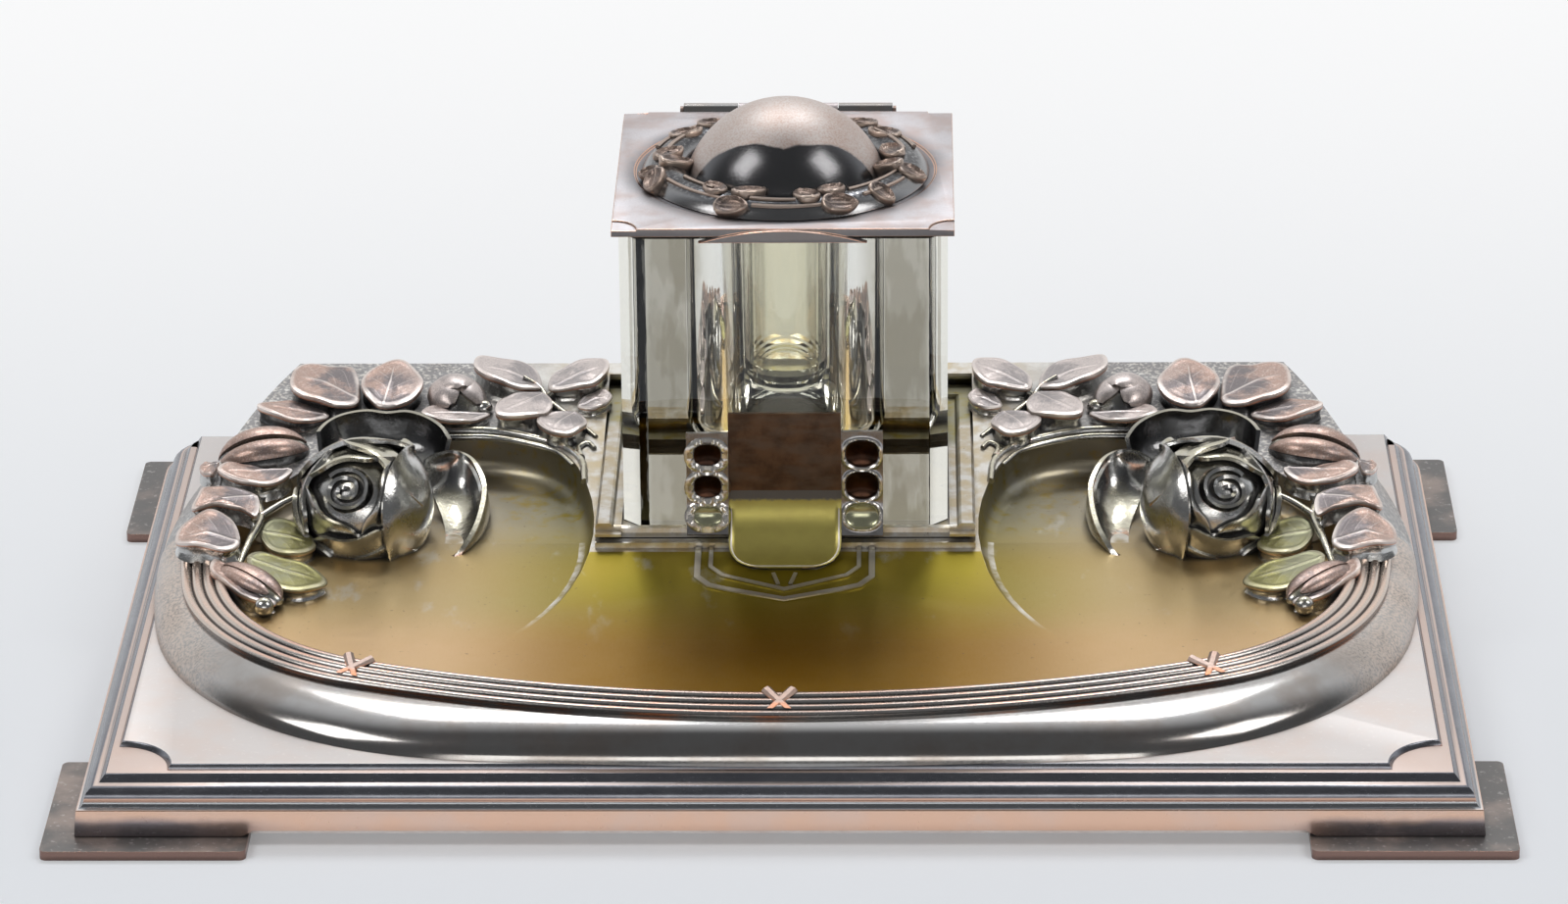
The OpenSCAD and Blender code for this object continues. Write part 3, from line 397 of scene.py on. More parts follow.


# Petals: burnished, gilt left on the faces that look up, painted dark reflection and soot on the forward-looking
# faces by the open petal
def petalSkin(name, gilded=0.5):
    skin = Skin(name)
    ny, nz = skin.facing().axes("yz")
    fine = skin.noise(0.6, 6.0)
    ripple = skin.noise(2.2, 3.0)
    blotch = skin.cloud(5, 0.36, 0.66)
    steel = skin.mix(blotch * 0.5, (0.62, 0.62, 0.61), (0.34, 0.33, 0.31))
    x, y = skin.spot("xy")
    up = (nz + blotch * 0.15).ease(0.66, 0.96)
    skin.colour = skin.mix(up * gilded, steel, (0.56, 0.50, 0.30))
    # Painted dark reflection and soot on the forward-looking faces of the open petal
    inside = y.ease(32, 36) * (ny * -1).ease(-0.1, 0.3) * abs(x).ease(70, 75)
    skin.lay(inside * 0.85, (0.10, 0.10, 0.105))
    rubbed = skin.mix(skin.cloud(3, 0.42, 0.60), (0.90, 0.88, 0.85), (0.66, 0.36, 0.24))
    dark = patina(skin, 1.8, 0.92, 0.65, 0.4, rubbed)
    return skin.finish(Metallic=1.0 - dark * 0.5, Roughness=fine * 0.14 + blotch * 0.10 + 0.10 + dark * 0.25,
                       Normal=skin.bump(ripple + fine * 0.2, 0.25, 0.35))


# Strap: brown oxide on the upright face, gilding on the foot;
# "pod" holds how far a point is from an oval's middle
def strapBronze(name):
    skin = Skin(name)
    x, z = skin.spot("xz")
    pod, edge, low = skin.mark("pod")
    fine = skin.noise(0.8, 6.0)
    blotch = skin.cloud(4, 0.35, 0.65)
    streak = skin.cloud(3, 0.40, 0.65, (0.3, 1.0, 1.0))
    brown = skin.mix(blotch * 0.6, (0.085, 0.045, 0.024), (0.20, 0.105, 0.055))
    brown = skin.mix(streak * 0.5, brown, (0.15, 0.115, 0.09))
    gold = skin.mix(blotch * 0.4, (0.50, 0.44, 0.12), (0.42, 0.35, 0.10))
    skin.colour = skin.mix(z.ease(37.0, 36.8), brown, (0.16, 0.155, 0.16))
    skin.lay((z + fine).ease(35.6, 34.8), gold)
    silver = skin.mix(blotch * 0.4, (0.46, 0.45, 0.45), (0.22, 0.19, 0.18))
    strip = abs(x).ease(12.0, 12.3)
    skin.lay(strip, silver)
    # Wells are dark; the well flagged gilt is painted pale olive, a painted reflection of the gilt tray below
    well = skin.mix(low, skin.mix(blotch, (0.02, 0.009, 0.005), (0.05, 0.022, 0.012)), (0.50, 0.50, 0.34))
    skin.lay(strip * pod.ease(0.95, 0.88), well)
    bright = abs(pod - 1.02).ease(0.10, 0.04) * strip
    skin.lay(bright.most(edge.ease(0.5, 0.8)), (0.88, 0.84, 0.78))
    dark = patina(skin, 1.2, 0.7, 0.8, 0.35)
    return skin.finish(Metallic=0.9 - (1 - strip) * 0.25 - dark * 0.4,
                       Roughness=fine * 0.20 + (1 - strip) * 0.16 + 0.12, Normal=skin.bump(fine, 0.10, 0.08))


# Old glass: faint yellow, waviness, and a brown tint on the outer panels that is painted dark reflection
def clearGlass(name, tint=(0.93, 0.925, 0.86), paintedDarkTint=(0.30, 0.28, 0.22)):
    skin = Skin(name)
    (x,) = skin.spot("x")
    wave = skin.noise(16, 2.5)
    streak = skin.noise(7, 4.0, (1.0, 1.0, 0.3))
    # The outer panels carry painted dark reflection as a brown tint
    sides = abs(x).ease(15, 19) * abs(x).ease(33, 30)
    share = sides * (streak + wave * 0.3).ease(0.45, 0.72)
    share = share.most(sides * 0.78)
    skin.colour = skin.mix(share, skin.mix(wave * 0.4, tint, (0.95, 0.93, 0.83)), paintedDarkTint)
    return skin.finish(Roughness=0.0, IOR=1.52, Transmission_Weight=1.0,
                       Normal=skin.bump(wave + streak * 0.25, 0.05, 0.8))


# Stepped base: pale satin flats, mouldings painted dark as a reflection, copper lines, pink skirt filmed blue
# toward the feet
baseMap = {"footTop": 2.2, "skirtTop": 7.8, "coveTop": 9.3, "ends": (96, 122)}


def baseSkin(name, cfg, flat=(0.70, 0.655, 0.635)):
    skin = Skin(name, flat)
    x, z = skin.spot("xz")
    (nz,) = skin.facing().axes("z")
    blotch = skin.cloud(14, 0.40, 0.72)
    grain = skin.noise(0.5, 6.0, (0.25, 1.0, 1.0))
    speck = skin.cloud(1.2, 0.58, 0.72)
    level = nz.ease(0.955, 0.99)
    skin.lay(blotch * 0.32, (0.72, 0.54, 0.45))
    skin.lay(speck * 0.25, (0.88, 0.84, 0.81))
    tread = z.ease(11.0, 11.5) * (1 - z.ease(13.7, 14.0))
    skin.lay(tread * 0.5, (0.60, 0.40, 0.31))
    cove = cfg["coveTop"]
    # Faces that are not level get a painted dark reflection, darkest above the cove, with a copper line at its top
    film = skin.mix(z.ease(cove - 0.1, cove + 0.3), (0.30, 0.31, 0.325), (0.17, 0.175, 0.20))
    film = skin.mix(blotch * 0.3 + grain * 0.3, film, (0.33, 0.34, 0.37))
    film = skin.mix(abs(z - (cove + 0.1)).ease(0.5, 0.2), film, (0.70, 0.44, 0.33))
    skin.colour = skin.mix(level, film, skin.colour)
    ends = abs(x).ease(*cfg["ends"]) * (z + blotch * 1.5).ease(7.2, 4.6)
    skirt = skin.mix(blotch * 0.6, (0.88, 0.58, 0.43), (0.80, 0.62, 0.54))
    skirt = skin.mix(ends * 0.85, skirt, (0.27, 0.28, 0.33))
    skirt = skin.mix(z.ease(cfg["footTop"], cfg["footTop"] - 0.1), skirt, (0.26, 0.165, 0.14))
    skin.lay(z.ease(cfg["skirtTop"] + 0.1, cfg["skirtTop"]) * (1 - level), skirt)
    dark = patina(skin, 2.6, 0.85, 0.75, 0.5)
    return skin.finish(Metallic=0.95 - level * 0.5 - dark * 0.3, Normal=skin.bump(grain, 0.08, 0.08),
                       Roughness=level * 0.16 + grain * 0.14 + 0.18 + dark * 0.2)


# Lid: speckled plate, darker in a ring round the wreath and on its upright sides; the dome is rubbed pale on top
# and painted dark below its shoulder as a dark reflection
lidMap = {"axisY": 39.75, "wreathR": 31.4, "haloR": 37.5, "domeR": 22.4, "shoulder": (0.655, 0.685)}


def lidSkin(name, cfg):
    skin = Skin(name)
    x, y = skin.spot("xy")
    nx, ny, nz = skin.facing().axes()
    reach = (x * x + (y - cfg["axisY"]) * (y - cfg["axisY"])) ** 0.5
    blotch = skin.cloud(9, 0.36, 0.66)
    grain = skin.noise(0.45, 6.0, (0.4, 1.0, 1.0))
    speck = skin.noise(0.4, 3.0).ease(0.42, 0.62)
    plate = skin.mix(blotch * 0.6, (0.58, 0.56, 0.575), (0.44, 0.31, 0.265))
    plate = skin.mix(speck * 0.35, plate, (0.45, 0.42, 0.44))
    halo = 1 - (reach + blotch * 1.5).ease(cfg["wreathR"], cfg["haloR"])
    plate = skin.mix(halo * 0.85, plate, (0.09, 0.09, 0.10))
    top = skin.mix(speck * 0.5 + blotch * 0.3, (0.60, 0.55, 0.525), (0.47, 0.33, 0.27))
    onDome = 1 - reach.ease(cfg["domeR"] - 0.2, cfg["domeR"])
    # Painted dark reflection on the dome below its shoulder, set by which way each face points
    below = (abs(nx) * 0.34 - ny + blotch * 0.02).ease(*cfg["shoulder"])
    skin.colour = skin.mix(onDome, plate, skin.mix(below, top, (0.13, 0.13, 0.135)))
    edge = (1 - abs(nz).ease(0.2, 0.5)) * (1 - onDome)
    skin.lay(edge * 0.9, (0.16, 0.15, 0.15))
    dark = patina(skin, 1.6, 0.7, 0.75, 0.4)
    return skin.finish(Metallic=0.92 - dark * 0.4, Normal=skin.bump(grain + speck * 0.4, 0.12, 0.1),
                       Roughness=0.44 - onDome * below * 0.30 - edge * 0.16 + grain * 0.10)


finishes = {
    "worn_silver": wornSilver("wornSilver"),
    "dark_silver": brightSilver("brightSilver"),
    "copper_edge": wornSilver("copperEdge", 1.0, 0.40, 0.9, 1.0, 0.3),
    "gilt": giltWash("giltWash", giltMap),
    "dull_metal": wornSilver("dullMetal", 0.3, 0.5),
    "clear_glass": clearGlass("clearGlass"),
}
slotOf = {s["node"]: s["material_slot"] for s in frame["record"]["subparts"]}
bodyOf = {n: b for b, members in frame["record"]["behaviour"]["bodies"].items() for n in members}
for nodeName, obj in nodes.items():
    obj.data.materials.clear()
    obj.data.materials.append(finishes[slotOf[nodeName]])


# Turns a bmesh into a piece that rides on a body; edges sharper than the limit stay crisp
def addPiece(name, bm, skins, node, crisp, also=()):
    bm.normal_update()
    for face in bm.faces:
        face.smooth = True
    for edge in bm.edges:
        edge.smooth = len(edge.link_faces) == 2 and edge.calc_face_angle(3.0) < math.radians(crisp)
    mesh = bpy.data.meshes.new(name)
    bm.to_mesh(mesh)
    bm.free()
    for skin in skins:
        mesh.materials.append(skin)
    obj = bpy.data.objects.new(name, mesh)
    scene.collection.objects.link(obj)
    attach(obj, bodyOf[node])
    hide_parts(node, *also)
    return obj


def chain(bm, points, closed=False):
    verts = [bm.verts.new(Vector(p) * mm) for p in points]
    return verts, [bm.edges.new(pair) for pair in zip(verts, verts[1:] + verts[:1] * closed)]


def arc(centre, radius, start, end, steps):
    turns = [math.radians(start + (end - start) * i / steps) for i in range(steps + 1)]
    return [(centre[0] + radius * math.cos(t), centre[1] + radius * math.sin(t)) for t in turns]


def mergedCopy(node):
    bm = bmesh.new()
    bm.from_mesh(nodes[node].data)
    bmesh.ops.remove_doubles(bm, verts=bm.verts, dist=1e-6)
    return bm


# Smooth curve through points; t runs from 0 to 1
def through(points, t):
    place = min(max(t, 0.0), 1.0) * (len(points) - 1)
    i = min(int(place), len(points) - 2)
    s = place - i
    p1, p2 = Vector(points[i]), Vector(points[i + 1])
    p0 = Vector(points[i - 1]) if i else p1 * 2 - p2
    p3 = Vector(points[i + 2]) if i + 2 < len(points) else p2 * 2 - p1
    return (p1 * 2 + (p2 - p0) * s + (p0 * 2 - p1 * 5 + p2 * 4 - p3) * s * s
            + (p1 * 3 - p0 - p2 * 3 + p3) * s * s * s) * 0.5


def smoothStep(t):
    t = min(max(t, 0.0), 1.0)
    return t * t * (3 - 2 * t)


# Grid whose vertices are placed by a rule of (u, w), both 0 to 1; with a layer the rule gives its mark too
def gridBy(bm, along, across, rule, layer=None):
    verts = bmesh.ops.create_grid(bm, x_segments=along, y_segments=across, size=0.5)["verts"]
    for v in verts:
        place = rule(v.co.x + 0.5, v.co.y + 0.5)
        if layer is not None:
            place, v[layer] = place
        v.co = Vector(place) * mm
    return verts


# Square turned into a disc: x, y and the reach from the middle
def disc(u, w):
    a, b = 2 * u - 1, 2 * w - 1
    x, y = a * math.sqrt(1 - b * b / 2), b * math.sqrt(1 - a * a / 2)
    return x, y, min(math.hypot(x, y), 1.0)


def facesOf(verts):
    return list({f for v in verts for f in v.link_faces})


def paint(verts, index):
    for face in facesOf(verts):
        face.material_index = index


def thicken(bm, verts, thick):
    faces = facesOf(verts)
    bm.normal_update()
    made = bmesh.ops.solidify(bm, geom=faces, thickness=thick * mm)["geom"]
    return list({v for f in only(made, "Face") + [f for f in faces if f.is_valid] for v in f.verts})


# Curved plate between two edges, bulged along a direction, with its far edge turned by a lip
def petalSheet(bm, low, high, bulge=(0, 0, 0), lip=(0, 0, 0), thick=0.9, along=36, across=12):
    def rule(u, w):
        side = math.sin(math.pi * u) ** 0.5 if 0 < u < 1 else 0.0
        return (through(low, u).lerp(through(high, u), w) + Vector(bulge) * (4 * w * (1 - w) * side)
                + Vector(lip) * (smoothStep((w - 0.72) / 0.28) * side))
    return thicken(bm, gridBy(bm, along, across, rule), thick)


# Rings drawn down from the rim of a leaf and closed below: growth, drop, finish and rim mark of each
def skirt(bm, onLeaf, verts, steps, middle, depth):
    faces = facesOf(verts)
    rim = [e for e in {e for f in faces for e in f.edges} if e.is_boundary]
    for grow, drop, finish, mark in steps:
        made = bmesh.ops.extrude_edge_only(bm, edges=rim)["geom"]
        rim = [e for e in only(made, "Edge") if e.is_boundary]
        for v in only(made, "Vert"):
            v.co.x += (v.co.x - middle.x * mm) * (grow - 1)
            v.co.y += (v.co.y - middle.y * mm) * (grow - 1)
            v.co.z -= drop * depth(v) * mm
            v[onLeaf] = (1.0, 1.0, mark)
        for f in only(made, "Face"):
            f.material_index = finish
        faces += only(made, "Face")
    faces += bmesh.ops.contextual_create(bm, geom=rim)["faces"]
    bmesh.ops.recalc_face_normals(bm, faces=faces)
    return faces


# Round bar along a path, tapered between two radii
def stem(bm, path, thick, thin, sides=8, steps=18):
    rings = []
    for i in range(steps + 1):
        t = i / steps
        here, ahead = through(path, t), through(path, min(t + 0.02, 1.0)) - through(path, max(t - 0.02, 0.0))
        place = Matrix.Translation(here * mm) @ ahead.to_track_quat("Z", "Y").to_matrix().to_4x4()
        radius = (thick + (thin - thick) * t) * mm
        rings.append(bmesh.ops.create_circle(bm, segments=sides, radius=radius, matrix=place)["verts"])
    ringEdges = [list({e for v in ring for e in v.link_edges}) for ring in rings]
    for one, two in zip(ringEdges, ringEdges[1:]):
        bmesh.ops.bridge_loops(bm, edges=one + two)
    for ring in (rings[0], rings[-1]):
        bmesh.ops.contextual_create(bm, geom=ring)
    return [v for ring in rings for v in ring]


print("stage: tray")

# Foot outline and reed line of the tray, each made of tangent arcs: centre, radius, turn in degrees
tray = {"halfWidth": 137.0, "sideCentre": (-73.885, 14.047), "sideR": 210.885, "sideTurn": 10.5,
        "cornerCentre": (61.003, -10.953), "cornerR": 73.7, "frontCentre": (0.0, 569.452), "frontR": 657.302,
        "frontTurn": 6.0, "reedTurn": 8.0, "reedCornerR": 62.0, "wallFront": 7.6, "fieldZ": 14.6, "rimZ": 24.0,
        "floorZ": 19.5, "wallIn": 6.0, "wallTop": 21.6, "reeds": 4, "reedSteps": 10,
        "pitch": 2.35, "fat": 0.53, "shelf": 3.6, "cove": 3.4, "sheet": 1.3}


def traySection(cfg):
    wallIn, wallTop, fieldZ, rimZ, floorZ = (cfg[k] for k in ("wallIn", "wallTop", "fieldZ", "rimZ", "floorZ"))
    radius, sheet = cfg["pitch"] * cfg["fat"], cfg["sheet"]
    floorIn = wallIn + cfg["reeds"] * cfg["pitch"] + cfg["shelf"]
    rise = rimZ - radius - wallTop
    inside = arc((floorIn, floorZ + cfg["cove"]), cfg["cove"], 270, 190, 10)
    reeds = []
    for i in reversed(range(cfg["reeds"])):
        share = (i + 0.5) / cfg["reeds"]
        centre = (wallIn + (i + 0.5) * cfg["pitch"], wallTop + rise * share)
        reeds += arc(centre, radius, 30, 150, cfg["reedSteps"])
    wall = arc((wallIn + 1.6, fieldZ - 0.6), wallIn + 1.6, 100, 172, 18) + [(0.0, fieldZ)]
    under = [(sheet + 0.4, fieldZ), (sheet + 1.6, fieldZ + 3), (wallIn + 0.6, wallTop - sheet - 0.4),
             (floorIn - 4.2, rimZ - radius - sheet), (floorIn - 2.38, floorZ - sheet + 0.4),
             (floorIn, floorZ - sheet)]
    return inside, reeds, wall, under


# Reeds carry copper along their crests, and soot with painted shade between them
def reedSkin():
    skin = Skin("reedSilver")
    x, y = skin.spot("xy")
    along = skin.node("ShaderNodeAttribute", 2, {"attribute_name": "crest"})
    fine = skin.noise(0.7, 6.0)
    patchy = skin.cloud(9, 0.30, 0.66)
    skin.colour = skin.mix(fine.ease(0.4, 0.65) * 0.4, (0.46, 0.44, 0.42), (0.28, 0.25, 0.23))
    skin.lay(along.ease(0.70, 0.97) * (patchy * 0.6 + 0.3), (0.66, 0.40, 0.30))
    rubbed = abs(x).ease(95, 122) * y.ease(-80, -20)
    skin.lay(rubbed * 0.6, (0.80, 0.66, 0.56))
    # Darker between the reeds: soot and painted shade
    skin.lay(along.ease(0.38, 0.0) * 0.85, tone["sootAndShade"])
    return skin.finish(Metallic=0.95, Roughness=fine * 0.18 + 0.16, Normal=skin.bump(fine, 0.08, 0.06))


# Outer wall of the tray: mirror whose colour is darkened, partly as brown film and partly as painted dark
# reflection; paler and satin round the ends
def wallSkin():
    skin = Skin("wallSilver")
    x, z = skin.spot("xz")
    fine = skin.noise(0.6, 6.0)
    blotch = skin.cloud(12, 0.38, 0.70)
    # Dark colour of the wall: brown film and painted dark reflection
    skin.colour = skin.mix(blotch * 0.55, (0.40, 0.39, 0.38), (0.27, 0.22, 0.185))
    ends = abs(x).ease(112, 132)
    skin.lay(ends * fine.ease(0.35, 0.6) * 0.75, (0.74, 0.62, 0.54))
    lip = z.ease(21.4, 22.0)
    skin.lay(lip * blotch, tone["copper"])
    dark = patina(skin, 1.4, 0.7, 0.3)
    return skin.finish(Metallic=1.0 - dark * 0.4, Roughness=blotch * 0.06 + fine * 0.12 + ends * 0.22 + 0.08,
                       Normal=skin.bump(fine, 0.05, 0.05))


# Arcs of the reed line on the right half
def reedArcs(cfg):
    sx, sy = cfg["sideCentre"]
    sideR, cornerR, turn = cfg["sideR"] - cfg["wallIn"], cfg["reedCornerR"], math.radians(cfg["reedTurn"])
    cx, cy = sx + (sideR - cornerR) * math.cos(turn), sy - (sideR - cornerR) * math.sin(turn)
    frontY = cfg["frontCentre"][1] - cfg["frontR"] + cfg["wallFront"]
    drop = cy - frontY
    frontR = (cx * cx + drop * drop - cornerR * cornerR) / (2 * (drop - cornerR))
    return (sx, sy), (cx, cy), (0.0, frontY + frontR), math.degrees(math.atan2(cx, frontY + frontR - cy))


# Where a line from p along d leaves a circle round it
def leave(p, d, centre, radius):
    q = p - Vector(centre)
    along = q.dot(d)
    return p + d * (math.sqrt(along * along - q.dot(q) + radius * radius) - along)


# Stretches the swept wall from the reeds out to the foot outline
def stretchWall(bm, share, cfg):
    side, corner, front, frontTurn = reedArcs(cfg)
    for v in bm.verts:
        if v[share] <= 0:
            continue
        x, y = abs(v.co.x) / mm, v.co.y / mm
        turn = math.degrees(math.atan2(corner[1] - y, x - corner[0]))
        centre = side if turn < cfg["reedTurn"] else front if turn > 90 - frontTurn else corner
        out = (Vector((x, y)) - Vector(centre)).normalized()
        reed = Vector((x, y)) - out * (cfg["wallIn"] * v[share])
        foot = leave(reed, out, cfg["cornerCentre"], cfg["cornerR"])
        turn = math.degrees(math.atan2(cfg["cornerCentre"][1] - foot.y, foot.x - cfg["cornerCentre"][0]))
        if turn < cfg["sideTurn"]:
            foot = leave(reed, out, cfg["sideCentre"], cfg["sideR"])
        elif turn > 90 - cfg["frontTurn"]:
            foot = leave(reed, out, cfg["frontCentre"], cfg["frontR"])
        here = reed + (foot - reed) * v[share]
        v.co.x, v.co.y = math.copysign(here.x * mm, v.co.x), here.y * mm


def makeTray(cfg):
    bm = bmesh.new()
    crest, band = bm.verts.layers.float.new("crest"), bm.verts.layers.int.new("band")
    share = bm.verts.layers.float.new("share")
    parts = traySection(cfg)
    flat = [p for part in parts for p in part]
    verts, edges = chain(bm, [(-cfg["halfWidth"] + p[0], cfg["sideCentre"][1], p[1]) for p in flat])
    for v, p, k in zip(verts, flat, [k for k, part in enumerate(parts) for p in part]):
        v[band] = k
        v[share] = max(1 - p[0] / cfg["wallIn"], 0.0)
    perReed = cfg["reedSteps"] + 1
    for i in range(cfg["reeds"] * perReed):
        verts[len(parts[0]) + i][crest] = math.sin(math.pi * (i % perReed) / (perReed - 1))
    (sx, sy), (cx, cy), front, frontTurn = reedArcs(cfg)
    sideTurn, cornerTurn = cfg["reedTurn"], 90 - cfg["reedTurn"] - frontTurn
    ends = verts + edges
    for (x, y), turn, steps in (((-sx, sy), sideTurn, 12), ((-cx, cy), cornerTurn, 48),
                                (front, 2 * frontTurn, 48),
                                ((cx, cy), cornerTurn, 48), ((sx, sy), sideTurn, 12)):
        last = bmesh.ops.spin(bm, geom=ends, cent=(x * mm, y * mm, 0.0), axis=(0, 0, 1),
                              angle=math.radians(turn), steps=steps, use_merge=False)["geom_last"]
        ends = only(last, "Vert") + only(last, "Edge")
    stretchWall(bm, share, cfg)
    under = (cfg["floorZ"] - cfg["sheet"]) * mm
    rim = [e for e in bm.edges if len(e.link_faces) == 1]
    for level in (cfg["floorZ"] * mm, under):
        flatRim = [e for e in rim if all(abs(v.co.z - level) < 1e-6 for v in e.verts)]
        bmesh.ops.contextual_create(bm, geom=flatRim)
    bmesh.ops.holes_fill(bm, edges=[e for e in bm.edges if len(e.link_faces) == 1], sides=0)
    bmesh.ops.recalc_face_normals(bm, faces=bm.faces)
    for face in bm.faces:
        face.material_index = max(v[band] for v in face.verts)
    addPiece("trayShell", bm, [finishes["gilt"], reedSkin(), wallSkin(), finishes["dull_metal"]], "pen_tray", 32.0,
             ["tray_rim"])


makeTray(tray)

bm = mergedCopy("rose_border")
castFinish = castGround("castGround", giltMap, ground)
addPiece("roseBorder", bm, [castFinish], "rose_border", 40.0)
nodes["inkwell_seat"].data.materials[0] = castFinish
nodes["ribbon_ties"].data.materials[0] = finishes["copper_edge"]

print("stage: base, strap and lid plates")


# Copy of a CAD node with its sharp edges eased; the eased faces take the second finish
def easedCopy(name, node, skins, width, sharp=35.0, segments=2):
    bm = mergedCopy(node)
    bmesh.ops.dissolve_limit(bm, angle_limit=math.radians(0.6), verts=bm.verts, edges=bm.edges)
    hard = [e for e in bm.edges if len(e.link_faces) == 2 and e.calc_face_angle(0.0) > math.radians(sharp)
            and e.calc_length() > 3 * width * mm]
    made = bmesh.ops.bevel(bm, geom=hard, offset=width * mm, offset_type="OFFSET", affect="EDGES",
                           segments=segments, profile=0.5, material=-1, clamp_overlap=True)["faces"]
    for face in made:
        face.material_index = 1
    return addPiece(name, bm, skins, node, 30.0)


edgeSilver = brightSilver("edgeCopper", (0.62, 0.38, 0.28), 0.2, 0.5, 1.0)
# Feet: the flat tops are painted near black as a dark reflection
footSilverPaintedDark = baseSkin("footSilverPaintedDark", baseMap, (0.13, 0.124, 0.12))
for depth in ("Front", "Rear"):
    for hand in ("Left", "Right"):
        node = "foot_%s_%s" % (depth.lower(), hand.lower())
        easedCopy("foot" + depth + hand, node, [footSilverPaintedDark, edgeSilver], 0.3)
easedCopy("lidPlate", "lid_cover", [lidSkin("lidSilver", lidMap), edgeSilver], 0.2)

# Moulding of the base from its foot up as (inset, z), its underside, and the step on top of it
plinth = {"half": (143.5, 94.75), "rearR": 12, "lift": 1.4, "footAt": (108.2, 59.4), "foot": 2.0,
          "blend": 1.2, "fade": 3.0,
          "outer": [(0.5, 2.0), (0.12, 2.08), (0.0, 2.4), (0.45, 7.0), (0.5, 7.65), (0.68, 7.82)]
          + arc((0.5, 9.3), 1.5, -84, -8, 6) + [(2.0, 9.22), (2.12, 9.3)] + arc((4.7, 9.3), 2.6, 176, 92, 14)
          + [(4.85, 12.0), (5.0, 12.02), (5.1, 12.18), (6.05, 13.3), (6.2, 13.45), (6.4, 13.508),
             (24.0, 13.508)],
          "inner": [(24.0, 12.2), (6.0, 11.0), (3.2, 8.2), (1.8, 6.4), (1.7, 2.0)],
          "step": {"in": 7.7, "notch": 11, "lean": 0.7, "z": 13.508, "top": 14.6}}


# One closed ring of the base outline, drawn in from its edge
def plinthRing(bm, cfg, inset, z):
    w, d = cfg["half"][0] - inset, cfg["half"][1] - inset
    a, b = cfg["footAt"]
    soft = cfg["blend"]
    across = (a + soft, a - soft)
    points = [(-w, -d)] + [(-x, -d) for x in across] + [(x, -d) for x in reversed(across)] + [(w, -d)]
    points += [(w, y) for y in (-b - soft, -b + soft, b - soft, b + soft)]
    r = cfg["rearR"]
    points += arc((w + inset - r, d + inset - r), r - inset, 0, 90, 8)
    points += [(x, d) for x in across] + [(-x, d) for x in reversed(across)]
    points += arc((r - w - inset, d + inset - r), r - inset, 90, 180, 8)
    points += [(-w, y) for y in (b + soft, b - soft, -b + soft, -b - soft)]
    raised = max(1 - (z - cfg["foot"]) / cfg["fade"], 0.0) * cfg["lift"]
    return chain(bm, [(x, y, z + (raised if abs(x) < a or abs(y) < b else 0.0)) for x, y in points], True)[1]


def bridgeAll(bm, rings):
    for one, two in zip(rings, rings[1:]):
        bmesh.ops.bridge_loops(bm, edges=one + two)


# Top step with a hollow quarter round out of each front corner
def stepRing(bm, cfg, half, lean, z):
    w, d = half[0] - cfg["in"], half[1] - cfg["in"]
    reach = cfg["notch"] + lean
    skew = math.degrees(math.asin(lean / reach))
    points = arc((-w, -d), reach, 90 - skew, skew, 16) + arc((w, -d), reach, 180 - skew, 90 + skew, 16)
    points += [(w - lean, d - lean), (lean - w, d - lean)]
    return chain(bm, [(x, y, z) for x, y in points], True)[1]


def makePlinth(cfg):
    bm = bmesh.new()
    rings = [plinthRing(bm, cfg, *p) for p in cfg["outer"] + cfg["inner"]]
    bridgeAll(bm, rings + rings[:1])
    step = cfg["step"]
    rise = step["top"] - step["z"]
    rings = [stepRing(bm, step, cfg["half"], lean, z) for lean, z in
             ((0.0, step["z"] - 0.4), (0.0, step["z"]), (step["lean"] * 0.85, step["top"] - rise * 0.18),
              (step["lean"], step["top"] - 0.06), (step["lean"] + 0.22, step["top"]))]
    bridgeAll(bm, rings)
    for ring in (rings[0], rings[-1]):
        bmesh.ops.contextual_create(bm, geom=ring)
    bmesh.ops.recalc_face_normals(bm, faces=bm.faces)
    addPiece("plinthShell", bm, [baseSkin("baseSilver", baseMap)], "base_plinth", 40.0)


makePlinth(plinth)

print("stage: strap, wreath and glass")

# Strap that runs down the glass and curls out onto the dish: centre panel between two strips with ovals
strap = {"faceY": 2.65, "coveR": 11.5, "coveZ": 35.3, "half": 12.1, "topZ": 54.7, "nose": 8.0, "thick": 0.9,
         "stripHalf": 21.1, "stripTopZ": 50.5, "stripTurn": 42.0,
         # ovals down the strip: distance of the middle from its top, half height, gilt flag (1 paints the well
         # pale olive as a reflection of the gilt tray)
         "ovals": [(5.2, 3.4, 0.0), (12.6, 3.5, 0.0), (19.4, 3.0, 1.0)]}


# Point on the face of the strap, a distance below a given top, lifted off the face
def onStrap(cfg, x, down, top, lift):
    straight = top - cfg["coveZ"]
    if down < straight:
        return x, cfg["faceY"] - lift, top - down
    turn = (down - straight) / cfg["coveR"]
    reach = cfg["coveR"] - lift
    return (x, cfg["faceY"] - cfg["coveR"] + reach * math.cos(turn), cfg["coveZ"] - reach * math.sin(turn))


